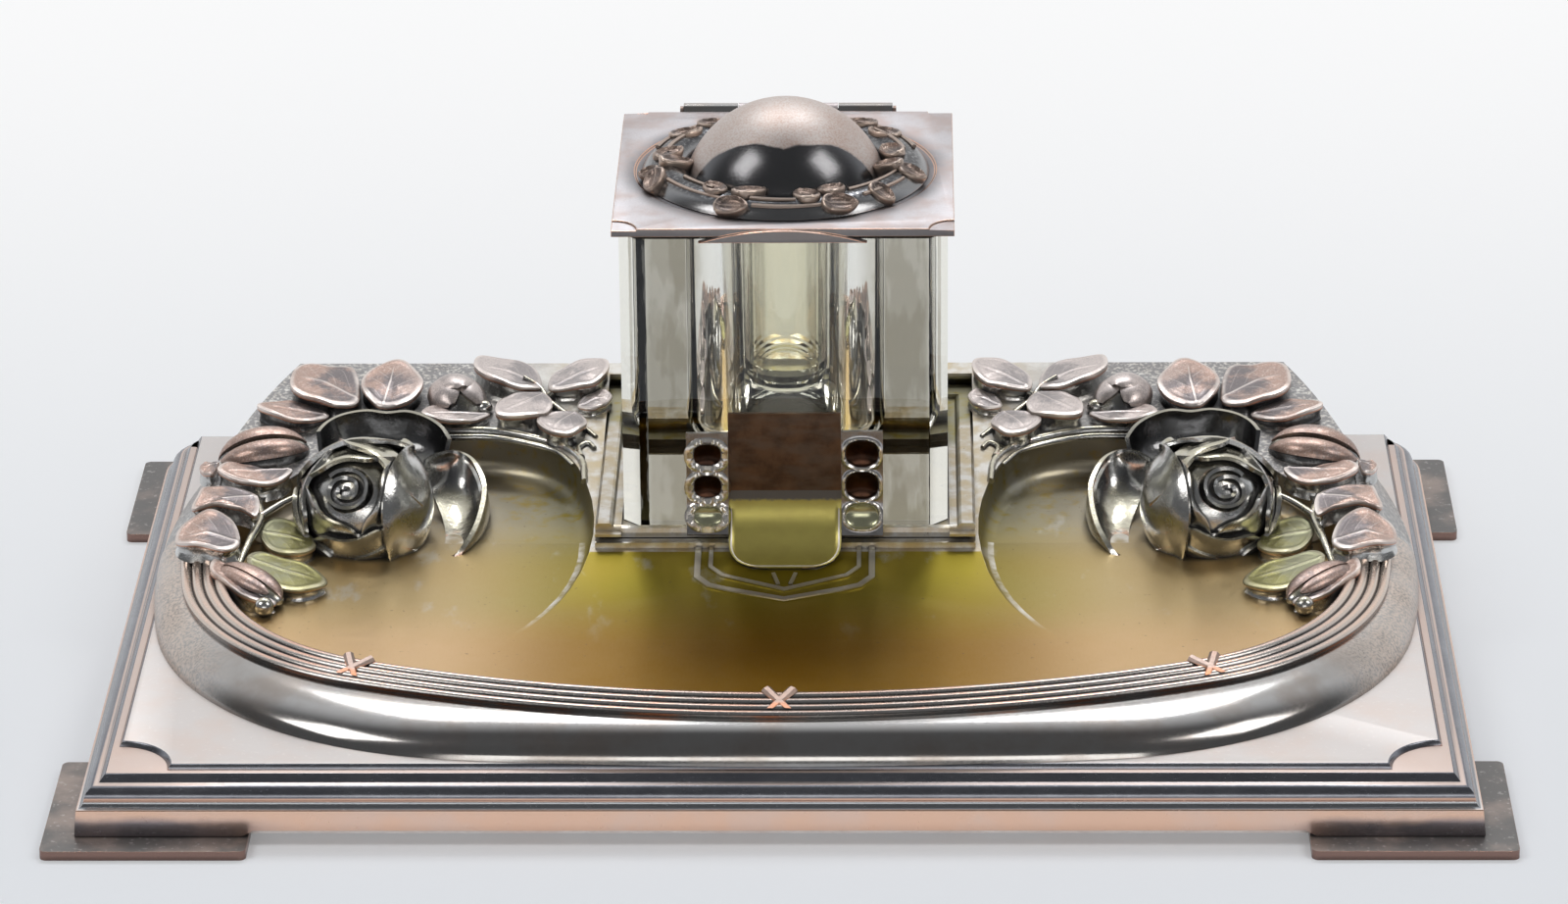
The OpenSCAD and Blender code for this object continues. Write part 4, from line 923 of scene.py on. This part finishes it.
def makeStrap(cfg):
    bm = bmesh.new()
    pod = bm.verts.layers.float_vector.new("pod")
    long = cfg["topZ"] - cfg["coveZ"] + cfg["coveR"] * math.pi / 2

    def panel(u, w):
        down = w * long
        left = min(long - down, cfg["nose"])
        half = cfg["half"] - cfg["nose"] + math.sqrt(cfg["nose"] ** 2 - (cfg["nose"] - left) ** 2)
        x = (2 * u - 1) * max(half, 0.3)
        inward = min(half - abs(x), left if left < cfg["nose"] else 9.0)
        bead = math.exp(-((inward - 0.5) / 0.35) ** 2) * smoothStep((down - 20) / 3)
        return onStrap(cfg, x, down, cfg["topZ"], 0.35 * bead), (9.0, bead, 0.0)

    thicken(bm, gridBy(bm, 48, 90, panel, pod), -cfg["thick"])
    stripLong = cfg["stripTopZ"] - cfg["coveZ"] + cfg["coveR"] * math.radians(cfg["stripTurn"])
    wide = cfg["stripHalf"] - cfg["half"]
    for side in (-1, 1):
        def strip(u, w, side=side):
            across, down = (u - 0.5) * wide, w * stripLong
            r, gilt = min((((abs(across) / 3.9) ** 2.4 + (abs(down - mid) / half) ** 2.4) ** (1 / 2.4), gilt)
                          for mid, half, gilt in cfg["ovals"])
            lift = 0.45 * math.exp(-((r - 1.02) / 0.09) ** 2) - (0.9 * (1 - r * r) if r < 1 else 0.0)
            x = side * (cfg["half"] + wide / 2 + across)
            return onStrap(cfg, x, down, cfg["stripTopZ"], lift - 0.1), (r, 0.0, gilt)

        thicken(bm, gridBy(bm, 40, 96, strip, pod), -cfg["thick"])
    bmesh.ops.recalc_face_normals(bm, faces=bm.faces)
    addPiece("strapPlate", bm, [strapBronze("strapBronze")], "front_strap", 40.0)


makeStrap(strap)

# Wreath: ring section as (radius, z), leaves as x, y from the lid's axis, z, turn, length, width
wreath = {"axisY": 39.75, "tones": ((0.10, 0.095, 0.10), (0.24, 0.175, 0.145), (0.62, 0.50, 0.42)),
          "section": [(21.4, 96.6), (21.6, 98.0), (22.6, 98.9), (24.4, 99.7), (26.2, 99.9), (28.0, 99.4),
        (29.6, 98.5), (30.6, 97.5), (31.2, 96.6)],
          "leaves": [(4.8, -24.2, 100.2, 115, 7.4, 5.4), (10.4, -21.8, 100.6, 58, 6.6, 5.6),
        (12.2, -27.2, 99.4, 12, 8.0, 5.0), (-14.8, -19.9, 100.2, 108, 7.2, 5.0),
        (-7.3, -23.0, 100.6, 28, 8.0, 4.8), (-11.2, -28.4, 99.3, -14, 7.6, 4.8),
        (-25.2, 1.6, 100.2, 48, 8.4, 4.6), (-23.2, -4.1, 100.4, 18, 8.2, 4.2),
        (-28.2, -12.6, 99.2, -104, 7.6, 5.0), (-29.6, -7.2, 98.9, 150, 5.6, 3.6),
        (22.8, 2.7, 100.3, 118, 8.4, 4.6), (21.8, -6.5, 100.4, 152, 8.2, 4.4),
        (27.6, -8.7, 99.4, -8, 6.6, 5.2), (21.2, -20.6, 99.2, -30, 6.6, 4.4),
        (-22.0, 14.5, 100.1, 20, 7.6, 4.6), (-16.0, 20.2, 100.1, -10, 7.4, 4.6),
        (-10.5, 26.0, 99.6, 70, 7.0, 4.6), (21.5, 14.5, 100.1, 160, 7.6, 4.6),
        (16.4, 20.6, 100.1, 196, 7.4, 4.6), (10.0, 26.2, 99.6, 100, 7.0, 4.6),
        (0.6, 25.4, 100.1, 90, 7.4, 4.8)],
          # stems round the ring: radius, first and last angle, z
          "stems": [(27.0, -106, -84, 100.0), (29.0, -104, -70, 99.2), (25.2, -148, -128, 100.2),
        (28.2, -152, -118, 99.5), (25.6, -56, -22, 100.1), (28.4, -52, -26, 99.5), (25.4, 172, 138, 100.2),
        (28.4, 166, 120, 99.5), (25.4, 8, 42, 100.2), (28.4, 14, 60, 99.5), (26.4, 62, 118, 100.1)]}


# Small cupped leaf with a rolled rim, bedded in the ring
def cupLeaf(bm, onLeaf, long, wide, matrix):
    def rule(u, w):
        x, y, r = disc(u, w)
        z = 0.55 * math.exp(-((r - 0.84) / 0.12) ** 2) - 0.45 * (1 - r * r) + 0.15 * math.exp(-(y / 0.1) ** 2)
        return (x * long / 2, y * wide / 2 * (1 - 0.35 * x * abs(x)), z), (-x, y, r)

    steps = [(grow, drop, 0, 1.05) for grow, drop in ((1.02, 0.4), (0.96, 0.7), (0.92, 1.8))]
    faces = skirt(bm, onLeaf, gridBy(bm, 18, 14, rule, onLeaf), steps, Vector(), lambda v: 1.0)
    for v in {v for f in faces for v in f.verts}:
        v.co = matrix @ v.co


def makeWreath(cfg):
    bm = bmesh.new()
    onLeaf = bm.verts.layers.float_vector.new("onLeaf")
    axis = Vector((0.0, cfg["axisY"], 0.0))
    ring = [through([(r, 0, z) for r, z in cfg["section"]], i / 28) for i in range(29)]
    verts, edges = chain(bm, [(p.x, cfg["axisY"], p.z) for p in ring], True)
    bmesh.ops.spin(bm, geom=verts + edges, cent=axis * mm, axis=(0, 0, 1), angle=math.tau, steps=120,
                   use_merge=True)
    bmesh.ops.recalc_face_normals(bm, faces=bm.faces)
    for f in bm.faces:
        f.material_index = 1
    for x, y, z, turn, long, wide in cfg["leaves"]:
        place = math.atan2(y, x)
        lean = math.radians(max(min((math.hypot(x, y) - 25.5) * 7, 32), -32))
        seat = Matrix.Translation((axis + Vector((x, y, z))) * mm) @ Matrix.Rotation(place, 4, "Z")
        turned = Matrix.Rotation(lean, 4, "Y") @ Matrix.Rotation(math.radians(turn) - place, 4, "Z")
        cupLeaf(bm, onLeaf, long, wide, seat @ turned)
    for reach, first, last, z in cfg["stems"]:
        turns = [math.radians(first + (last - first) * i / 8) for i in range(9)]
        path = [(reach * math.cos(a) + 0.5 * math.cos(3 * a), cfg["axisY"] + reach * math.sin(a), z - 0.2)
                for a in turns]
        stem(bm, path, 0.55, 0.4, 6, 16)
    leafFilm = leafSkin("wreathLeaf", tones=cfg["tones"])
    addPiece("wreathCast", bm, [leafFilm, wreathRing("wreathRing")], "lid_wreath", 50.0)


# Ring of the wreath: darker in patches on the faces that look up, round the leaves, burnished outside
def wreathRing(name):
    skin = Skin(name)
    (nz,) = skin.facing().axes("z")
    fine = skin.noise(0.7, 6.0)
    skin.colour = skin.mix(nz.ease(0.78, 0.92) * fine.ease(0.3, 0.55), (0.25, 0.25, 0.255), (0.05, 0.05, 0.055))
    dark = patina(skin, 2.0, 0.9, 0.2, 0.4)
    return skin.finish(Metallic=0.95 - dark * 0.5, Roughness=fine * 0.16 + 0.12 + dark * 0.25,
                       Normal=skin.bump(fine, 0.10, 0.08))


makeWreath(wreath)

# The block stands a hair above its seat, so that its underside reflects
glass = {"below": 27.7, "gap": 0.15}
bm = mergedCopy("glass_block")
for v in bm.verts:
    if v.co.z < glass["below"] * mm:
        v.co.z += glass["gap"] * mm
addPiece("glassBody", bm, [finishes["clear_glass"]], "glass_block", 20.0)

print("stage: roses and leaves")


def borderZ(y):
    return ground["sillZ"] + (y - ground["sillY"]) * ground["rise"]


# Point on a closed smooth outline, t from 0 to 1 once round
def around(outline, t):
    ring = outline[-1:] + outline + outline[:2]
    return through(ring, (1 + t * len(outline)) / (len(ring) - 1))


# Flank of a leaf: width and share of its height lost at each ring, finish, rim mark
leafFlank = [(1.012, 0.10, 0, 1.1), (1.0, 0.26, 0, 1.3), (0.95, 0.42, 1, 1.3), (0.92, 0.62, 1, 1.3),
             (0.94, 0.85, 1, 1.3), (1.02, 1.3, 1, 1.3)]


# Leaf on an outline of (x, y, height over the ground), stalk end first and tip half way round;
# thin engraved ribs, soft rim, and an undercut flank that runs down into the ground
def leaf(bm, onLeaf, high, outline, level, crown=0.5):
    middle = sum((Vector(p) for p in outline), Vector()) / len(outline)

    def rule(u, w):
        x, y, r = disc(u, w)
        here = middle.lerp(around(outline, (math.atan2(y, x) / math.tau) % 1.0), r)
        slant = (x + abs(y) * 0.7) * 2.4
        side = math.exp(-((slant - round(slant)) / 0.10) ** 2) * smoothStep(abs(y) / 0.2)
        side *= smoothStep((0.85 - r) / 0.2)
        rib = math.exp(-(y / 0.05) ** 2) * smoothStep((x + 0.8) / 0.4)
        z = crown * (1 - r * r) + 0.22 * math.exp(-((r - 0.88) / 0.07) ** 2) + 0.16 * rib + 0.08 * side
        z += 0.22 * math.sin(5.0 * x + 1.3 * outline[0][0]) * y
        z -= 0.12 * math.exp(-(abs(y) - 0.12) ** 2 / 0.003) * (1 - r)
        return (here.x, here.y, level(here.y) + here.z + z), (x, y, r)

    verts = gridBy(bm, 36, 28, rule, onLeaf)
    for v in verts:
        v[high] = v.co.z / mm - level(v.co.y / mm)
    before = [(1.0, 0.0)] + leafFlank
    steps = [(now[0] / was[0], now[1] - was[1], *now[2:]) for now, was in zip(leafFlank, before)]
    skirt(bm, onLeaf, verts, steps, middle, lambda v: v[high])


# Leaves of the left half
borderLeaves = {
    "rearEnd": [(-96.5, 63.5, 2.6), (-101, 59.5, 3.6), (-106.5, 61.5, 4.2), (-111.5, 65.5, 4.4),
        (-112.5, 73, 3.8), (-111, 80.5, 2.6), (-105, 81, 2.2), (-99, 79.5, 2)],
    "rearRound": [(-91, 60, 2.8), (-85, 61.5, 3.8), (-82.5, 69.5, 3.8), (-86, 79, 3.4), (-89.5, 82, 3.2),
        (-93.5, 78.5, 3.2), (-96.5, 71.5, 3.6), (-95, 64, 3.8)],
    "starOut": [(-56, 70, 2.6), (-59, 67.5, 3.6), (-64, 68.5, 4.4), (-69, 72, 4.8), (-71.5, 77, 4.4),
        (-70.5, 83.5, 3.2), (-64.5, 83.5, 2.6), (-58, 79.5, 2.2)],
    "starIn": [(-54, 68.5, 2.8), (-49, 67.5, 3.6), (-44.5, 69, 4), (-42, 72, 4.2), (-41, 78.5, 3.8),
        (-43, 83, 3), (-48.5, 82, 2.6), (-53.5, 76, 2.6)],
    "starFront": [(-55, 66.5, 2.6), (-53, 60.5, 3.2), (-54.5, 55, 3.8), (-59.5, 52.5, 4.4), (-65, 53.5, 4.4),
        (-65, 61, 3.8), (-62, 65, 3.2), (-58, 67, 2.8)],
    "stalkFront": [(-47.5, 58, 2.4), (-45, 52.5, 3), (-46.5, 47.5, 3.6), (-49.5, 45, 4), (-53, 46.5, 3.8),
        (-56, 51.5, 3.4), (-55, 56, 2.8), (-52, 58, 2.4)],
    "stalkRear": [(-47.5, 62.5, 1.4), (-44.5, 60.5, 2), (-42, 61.5, 2), (-40.5, 64.5, 1.8), (-40, 67.5, 1.6),
        (-41.5, 70.5, 1.4), (-44, 70, 1.2), (-46.5, 67, 1.2)],
    "underBud": [(-67, 58.5, 1.6), (-70, 54.5, 2.4), (-73.5, 52.5, 3), (-78.5, 53.5, 3.4), (-82, 56, 3.4),
        (-80.5, 60.5, 2.6), (-76.5, 61, 1.6), (-71.5, 60, 1.2)],
    "endLong": [(-103, 58, 1.6), (-107, 53.5, 2.6), (-111.5, 53.5, 3.4), (-116.5, 56, 3.8), (-119, 59, 3.8),
        (-116.5, 62.5, 2.8), (-112, 64.5, 1.8), (-106.5, 62.5, 1.4)],
    "endLow": [(-109, 31, 2.6), (-110.5, 25.5, 3.2), (-115, 23, 3.4), (-120, 24, 3.8), (-125, 28.5, 4),
        (-123, 33, 3.4), (-119.5, 34, 2.2), (-114, 31.5, 2)],
    "endSmall": [(-125.5, 36, 1.4), (-126, 29.5, 2.4), (-127.5, 29, 2.6), (-129, 30.5, 2.6), (-129.5, 33, 2.2),
        (-129, 35.5, 1.6), (-128, 36.5, 1.4), (-126.5, 37, 1.2)],
    "rimRear": [(-115.5, 18.5, 2.8), (-115, 10.5, 2.6), (-119, 12.5, 3.2), (-124, 14, 3.6), (-129, 12.5, 3),
        (-128.5, 18.5, 3), (-127, 23.5, 2.6), (-121.5, 22.5, 2.8)],
    "rimFront": [(-117.5, -1.5, 2.4), (-120.5, -5.5, 2.8), (-125, -4, 3.4), (-129, -3.5, 3.2),
        (-131.5, -0.5, 2.4), (-130.5, 7, 2.4), (-125.5, 12, 3), (-120, 8, 2.8)],
}
dishLeaves = {
    "dishLong": [(-108, -22.5, 2.2), (-112.5, -23, 3.2), (-116.5, -20, 4.2), (-120.5, -15.5, 5),
        (-123, -11.5, 5.6), (-122, -6.5, 5.6), (-117.5, -10.5, 4.4), (-111.5, -16, 3)],
    "giltRear": [(-114.5, 11.5, 4), (-112, 4, 3.8), (-107.5, 0.5, 3.6), (-103.5, 3, 3.2), (-102, 7, 3),
        (-105, 15, 3.2), (-109.5, 19.5, 3.8), (-113.5, 17, 4.2)],
    "giltFront": [(-116, -2, 3.8), (-113.5, -10, 3.4), (-108.5, -15.5, 3.2), (-102.5, -17, 2.9),
        (-98, -12, 2.4), (-101.5, -5, 2.8), (-107, -1.5, 3.2), (-113, 1, 3.8)],
}


# Plain bar of leaf on a bud or calyx: part of an ellipsoid, thickened
def sepal(bm, place, radii, lon, lat, out, thick, curl=0.0):
    def rule(u, w):
        narrow = 1 - 0.75 * (2 * u - 1) ** 4 if curl == 0 else 1 - 0.6 * u ** 3
        a = math.radians(lon[0] + (lon[1] - lon[0]) * (0.5 + (w - 0.5) * narrow))
        b = math.radians(lat[0] + (lat[1] - lat[0]) * u)
        r = out + 0.10 * math.sin(math.pi * w) + curl * u * u
        wide = r * math.cos(b)
        return place @ Vector((radii[0] * math.sin(b) * (1 + curl * u * u), wide * radii[1] * math.cos(a),
                               wide * radii[2] * math.sin(a)))
    return thicken(bm, gridBy(bm, 22, 10, rule), -thick)


def ball(bm, place, radii, rings=14):
    made = bmesh.ops.create_uvsphere(bm, u_segments=rings * 2, v_segments=rings, radius=1.0)["verts"]
    for v in made:
        v.co = place @ Vector((v.co.z * radii[0], v.co.x * radii[1], v.co.y * radii[2])) * mm
    return made


def frameAt(x, y, z, turn, tilt=0.0, roll=0.0):
    return (Matrix.Translation((x, y, z)) @ Matrix.Rotation(math.radians(turn), 4, "Z")
            @ Matrix.Rotation(math.radians(-tilt), 4, "Y") @ Matrix.Rotation(math.radians(roll), 4, "X"))


# Buds: x, y, z, turn, tilt, roll, half sizes, then sepals as (lon0, lon1, lat0, lat1, out)
budForms = {
    "C": {"at": (-74.6, 65.4, 30.6, -62, -16, 0), "half": (8.2, 6.2, 5.4),
          "sepals": [(20, 98, -80, 42, 1.10), (92, 165, -80, 30, 1.12), (55, 125, -85, 10, 1.2)]},
    "J": {"at": (-116.2, 43.4, 27.2, 12, 4, 0), "half": (10.4, 7.4, 5.6),
          "sepals": [(60, 100, -80, 70, 1.16), (112, 152, -75, 72, 1.14), (8, 44, -72, 66, 1.12),
                     (-30, -4, -60, 60, 1.1)]},
    "low": {"at": (-114.2, -14.6, 22.2, -42, -6, 0), "half": (9.6, 4.0, 3.0),
            "sepals": [(35, 100, -82, 80, 1.24), (100, 150, -70, 50, 1.14)]},
}


# Stems: path, first and last radius
stems = [([(-54.5, 66.5, 31.6), (-47.1, 56.6, 30.0), (-42.9, 50.6, 29.2)], 0.8, 0.6),
         ([(-54.5, 66.5, 31.8), (-56.5, 70.0, 33.4), (-60.0, 72.0, 35.0)], 0.7, 0.4),
         ([(-54.8, 68.0, 31.8), (-52.0, 69.5, 33.2), (-49.0, 71.5, 34.4)], 0.7, 0.4),
         ([(-47.5, 58.5, 30.2), (-49.0, 55.0, 31.8), (-50.5, 53.0, 32.4)], 0.6, 0.4),
         ([(-78.0, 53.4, 29.6), (-66.6, 53.2, 29.6), (-57.8, 50.6, 29.3), (-49.9, 46.2, 28.8),
           (-45.6, 39.6, 28.2), (-44.6, 30.0, 27.3)], 1.1, 0.8),
         ([(-76.0, 50.6, 29.2), (-66.6, 50.6, 29.2), (-58.4, 48.2, 28.9), (-51.4, 44.2, 28.5),
           (-47.4, 38.0, 27.8)], 0.8, 0.5),
         ([(-45.8, 41.0, 28.4), (-46.6, 45.0, 28.9), (-44.6, 47.4, 29.1), (-43.0, 45.0, 28.9)], 0.9, 0.6),
         ([(-116.6, 24.0, 26.5), (-114.6, 16.0, 25.0), (-116.0, 6.0, 24.2), (-117.6, -4.0, 22.6)], 1.1, 0.8),
         ([(-114.6, 16.0, 25.2), (-110.0, 22.0, 26.0), (-105.4, 26.0, 26.4)], 0.9, 0.6)]


# Berries: x, y, z, radius
berries = [(-68.4, 62.2, 31.4, 1.9), (-110.4, -24.0, 21.6, 2.1), (-126.8, 14.6, 26.6, 1.4)]


def makeFoliage(side):
    bm = bmesh.new()
    onLeaf, high = bm.verts.layers.float_vector.new("onLeaf"), bm.verts.layers.float.new("high")
    for outline in borderLeaves.values():
        leaf(bm, onLeaf, high, outline, borderZ)
    for name, outline in dishLeaves.items():
        before = set(bm.faces)
        leaf(bm, onLeaf, high, outline, lambda y: ground["floorZ"], 0.3)
        for f in set(bm.faces) - before:
            f.material_index += 2 if name.startswith("gilt") and f.material_index == 0 else 0
    for spec in budForms.values():
        place = frameAt(*spec["at"])
        paint(ball(bm, place, spec["half"]), 1)
        for lon0, lon1, lat0, lat1, out in spec["sepals"]:
            for v in sepal(bm, place, spec["half"], (lon0, lon1), (lat0, lat1), out, 0.9):
                v[onLeaf] = (0.0, 0.5, 0.8)
    for path, thick, thin in stems:
        paint(stem(bm, path, thick, thin), 1)
    for x, y, z, r in berries:
        paint(ball(bm, Matrix.Translation((x, y, z)), (r, r, r), 8), 1)
    cutAtFloor(bm)
    turnToSide(bm, side)
    return bm


def cutAtFloor(bm):
    geom = list(bm.verts) + list(bm.edges) + list(bm.faces)
    bmesh.ops.bisect_plane(bm, geom=geom, plane_co=(0, 0, ground["cutZ"] * mm), plane_no=(0, 0, 1),
                           clear_inner=True)
    bmesh.ops.holes_fill(bm, edges=[e for e in bm.edges if e.is_boundary], sides=0)


def turnToSide(bm, side):
    if side > 0:
        bmesh.ops.scale(bm, vec=(-1, 1, 1), verts=bm.verts)
        bmesh.ops.reverse_faces(bm, faces=bm.faces)


# Rose: the frame looks out of the bloom; petals are parts of spheres whose lips stand proud
rose = {"at": (-91.7, 19.75, 25.6), "faces": (-0.26, -0.75, 0.61), "core": 13.4,
        "spiral": {"turns": 2.3, "start": 40, "from": 1.1, "to": 6.2, "radius": 14.9,
                   "deep": 3.0, "thick": 0.8},
        # turn, half width, lip angle, foot angle, radius, lift, chord of a straight lip
        "petals": [(112, 60, 30, 62, 14.7, 0.9, 0), (236, 66, 29, 64, 14.6, 0.9, 0),
        (352, 60, 31, 62, 14.8, 0.8, 0), (62, 58, 40, 80, 15.1, 0.9, 0), (176, 58, 41, 82, 15.1, 0.9, 0),
        (284, 56, 42, 88, 15.2, 1.0, 0), (118, 56, 52, 104, 15.5, 1.0, 0), (222, 52, 56, 100, 15.5, 0.8, 0),
        (300, 30, 60, 100, 15.5, 0.8, 0), (4, 78, 40, 112, 15.9, 1.3, 8.6)]}
# Open petals round the bloom: foot line, rim line, bulge, turned lip
openPetals = {
    "back": ([(-102, 35.5, 27.5), (-97, 40, 27.5), (-89, 42, 27.5), (-82, 40.5, 27.5), (-76.8, 36.5, 27.5)],
        [(-103.2, 39, 35.6), (-101.4, 43, 35.8), (-98.3, 45.5, 36.2), (-93.6, 47, 36.3), (-89.2, 47, 35.7),
         (-84.7, 46.5, 36.3), (-80.6, 45, 35.8), (-77.3, 42.5, 34.9), (-75.1, 39, 33.8)],
        (0, 2.4, -1.6), (0, 0.7, 0.5)),
    "open": ([(-80.5, 31, 27), (-78.5, 32, 24), (-76.5, 28, 21.5), (-75, 22, 20), (-74.5, 16, 19.4),
         (-74.8, 9, 19.2)],
        [(-79.5, 34, 31), (-76.8, 36.6, 31.4), (-73.8, 38.2, 31), (-70.8, 36.6, 30), (-68.7, 32.4, 28.6),
         (-67.5, 28, 27), (-67.5, 22, 25.4), (-68.4, 15.6, 23.4), (-70.1, 10.8, 21.4), (-72, 7, 19.6)],
        (2.2, 1.0, -1.8), (0.5, 0, 0.3)),
    "flank": ([(-78, 36, 25), (-72, 40, 23), (-67.5, 38, 21), (-65.8, 32, 18.8), (-65.8, 25, 18.8),
         (-67, 17, 18.8), (-70, 9, 18.8), (-72.4, 6, 18.8)],
        [(-79.5, 34.4, 30.4), (-76.4, 37, 31), (-73.4, 38.6, 30.6), (-70.2, 36.8, 29.6), (-68.1, 32.4, 28.2),
         (-66.9, 28, 26.6), (-66.9, 22, 25), (-67.8, 15.6, 23), (-69.6, 10.8, 21), (-71.6, 7, 19.4)],
        (0.8, 0, 0.6), (0, 0, 0)),
}


def makeRose(cfg, side):
    bm = bmesh.new()
    out = Vector(cfg["faces"]).normalized()
    up = (Vector((0, 0, 1)) - out * out.z).normalized()
    right = up.cross(out)
    place = Matrix((right, up, out)).transposed().to_4x4()
    place.translation = Vector(cfg["at"])
    made = bmesh.ops.create_uvsphere(bm, u_segments=40, v_segments=20, radius=cfg["core"])["verts"]
    for v in made:
        v.co = place @ v.co * mm
    sp = cfg["spiral"]

    def ribbon(u, w):
        turn = math.radians(sp["start"]) + math.tau * sp["turns"] * u
        reach = sp["from"] + (sp["to"] - sp["from"]) * u ** 0.85
        height = math.sqrt(sp["radius"] ** 2 - reach * reach) - 0.5 * math.exp(-(reach / 2.5) ** 2)
        wave = 0.30 * math.sin(3.1 * turn) * smoothStep(u * 4)
        reach += 0.9 * w - 0.5 + 0.25 * math.sin(2.0 * turn + 1.0)
        height += wave * (1 - w) - sp["deep"] * w
        return place @ Vector((reach * math.cos(turn), reach * math.sin(turn), height))

    thicken(bm, gridBy(bm, 150, 5, ribbon), -sp["thick"])
    for turn, half, lip, foot, radius, lift, chord in cfg["petals"]:
        def petal(u, w, turn=turn, half=half, lip=lip, foot=foot, radius=radius, lift=lift, chord=chord):
            across = 2 * u - 1
            swing = math.radians(across * half)
            edge = math.radians(lip)
            if chord:
                edge = math.asin(min(chord / max(math.cos(swing), 0.05) / radius, 0.985))
            edge += (math.radians(foot) - edge) * 0.75 * abs(across) ** 6
            tilt = edge + (math.radians(foot) - edge) * w
            reach = radius + lift * (1 - smoothStep(w / 0.42)) - 1.2 * smoothStep((w - 0.6) / 0.4)
            reach += 0.35 * math.sin(2.3 * swing + turn)
            swing += math.radians(turn)
            wide = reach * math.sin(tilt)
            return place @ Vector((wide * math.cos(swing), wide * math.sin(swing), reach * math.cos(tilt)))

        thicken(bm, gridBy(bm, 44, 16, petal), -1.0)
    for name, (low, high, bulge, lip) in openPetals.items():
        petalSheet(bm, low, high, bulge, lip, -1.0 if name == "flank" else 1.0)
    cutAtFloor(bm)
    turnToSide(bm, side)
    return bm


leafTop, leafGilt, petalFilm = leafSkin("leafTop"), leafSkin("leafGilt", gilded=1.0), petalSkin("petalFilm")
for side, end in ((-1, "left"), (1, "right")):
    for kind, made, skins in (("foliage", makeFoliage(side), [leafTop, petalFilm, leafGilt]),
                              ("rose", makeRose(rose, side), [petalFilm])):
        addPiece(kind + end.title(), made, skins, kind + "_" + end, 50.0)
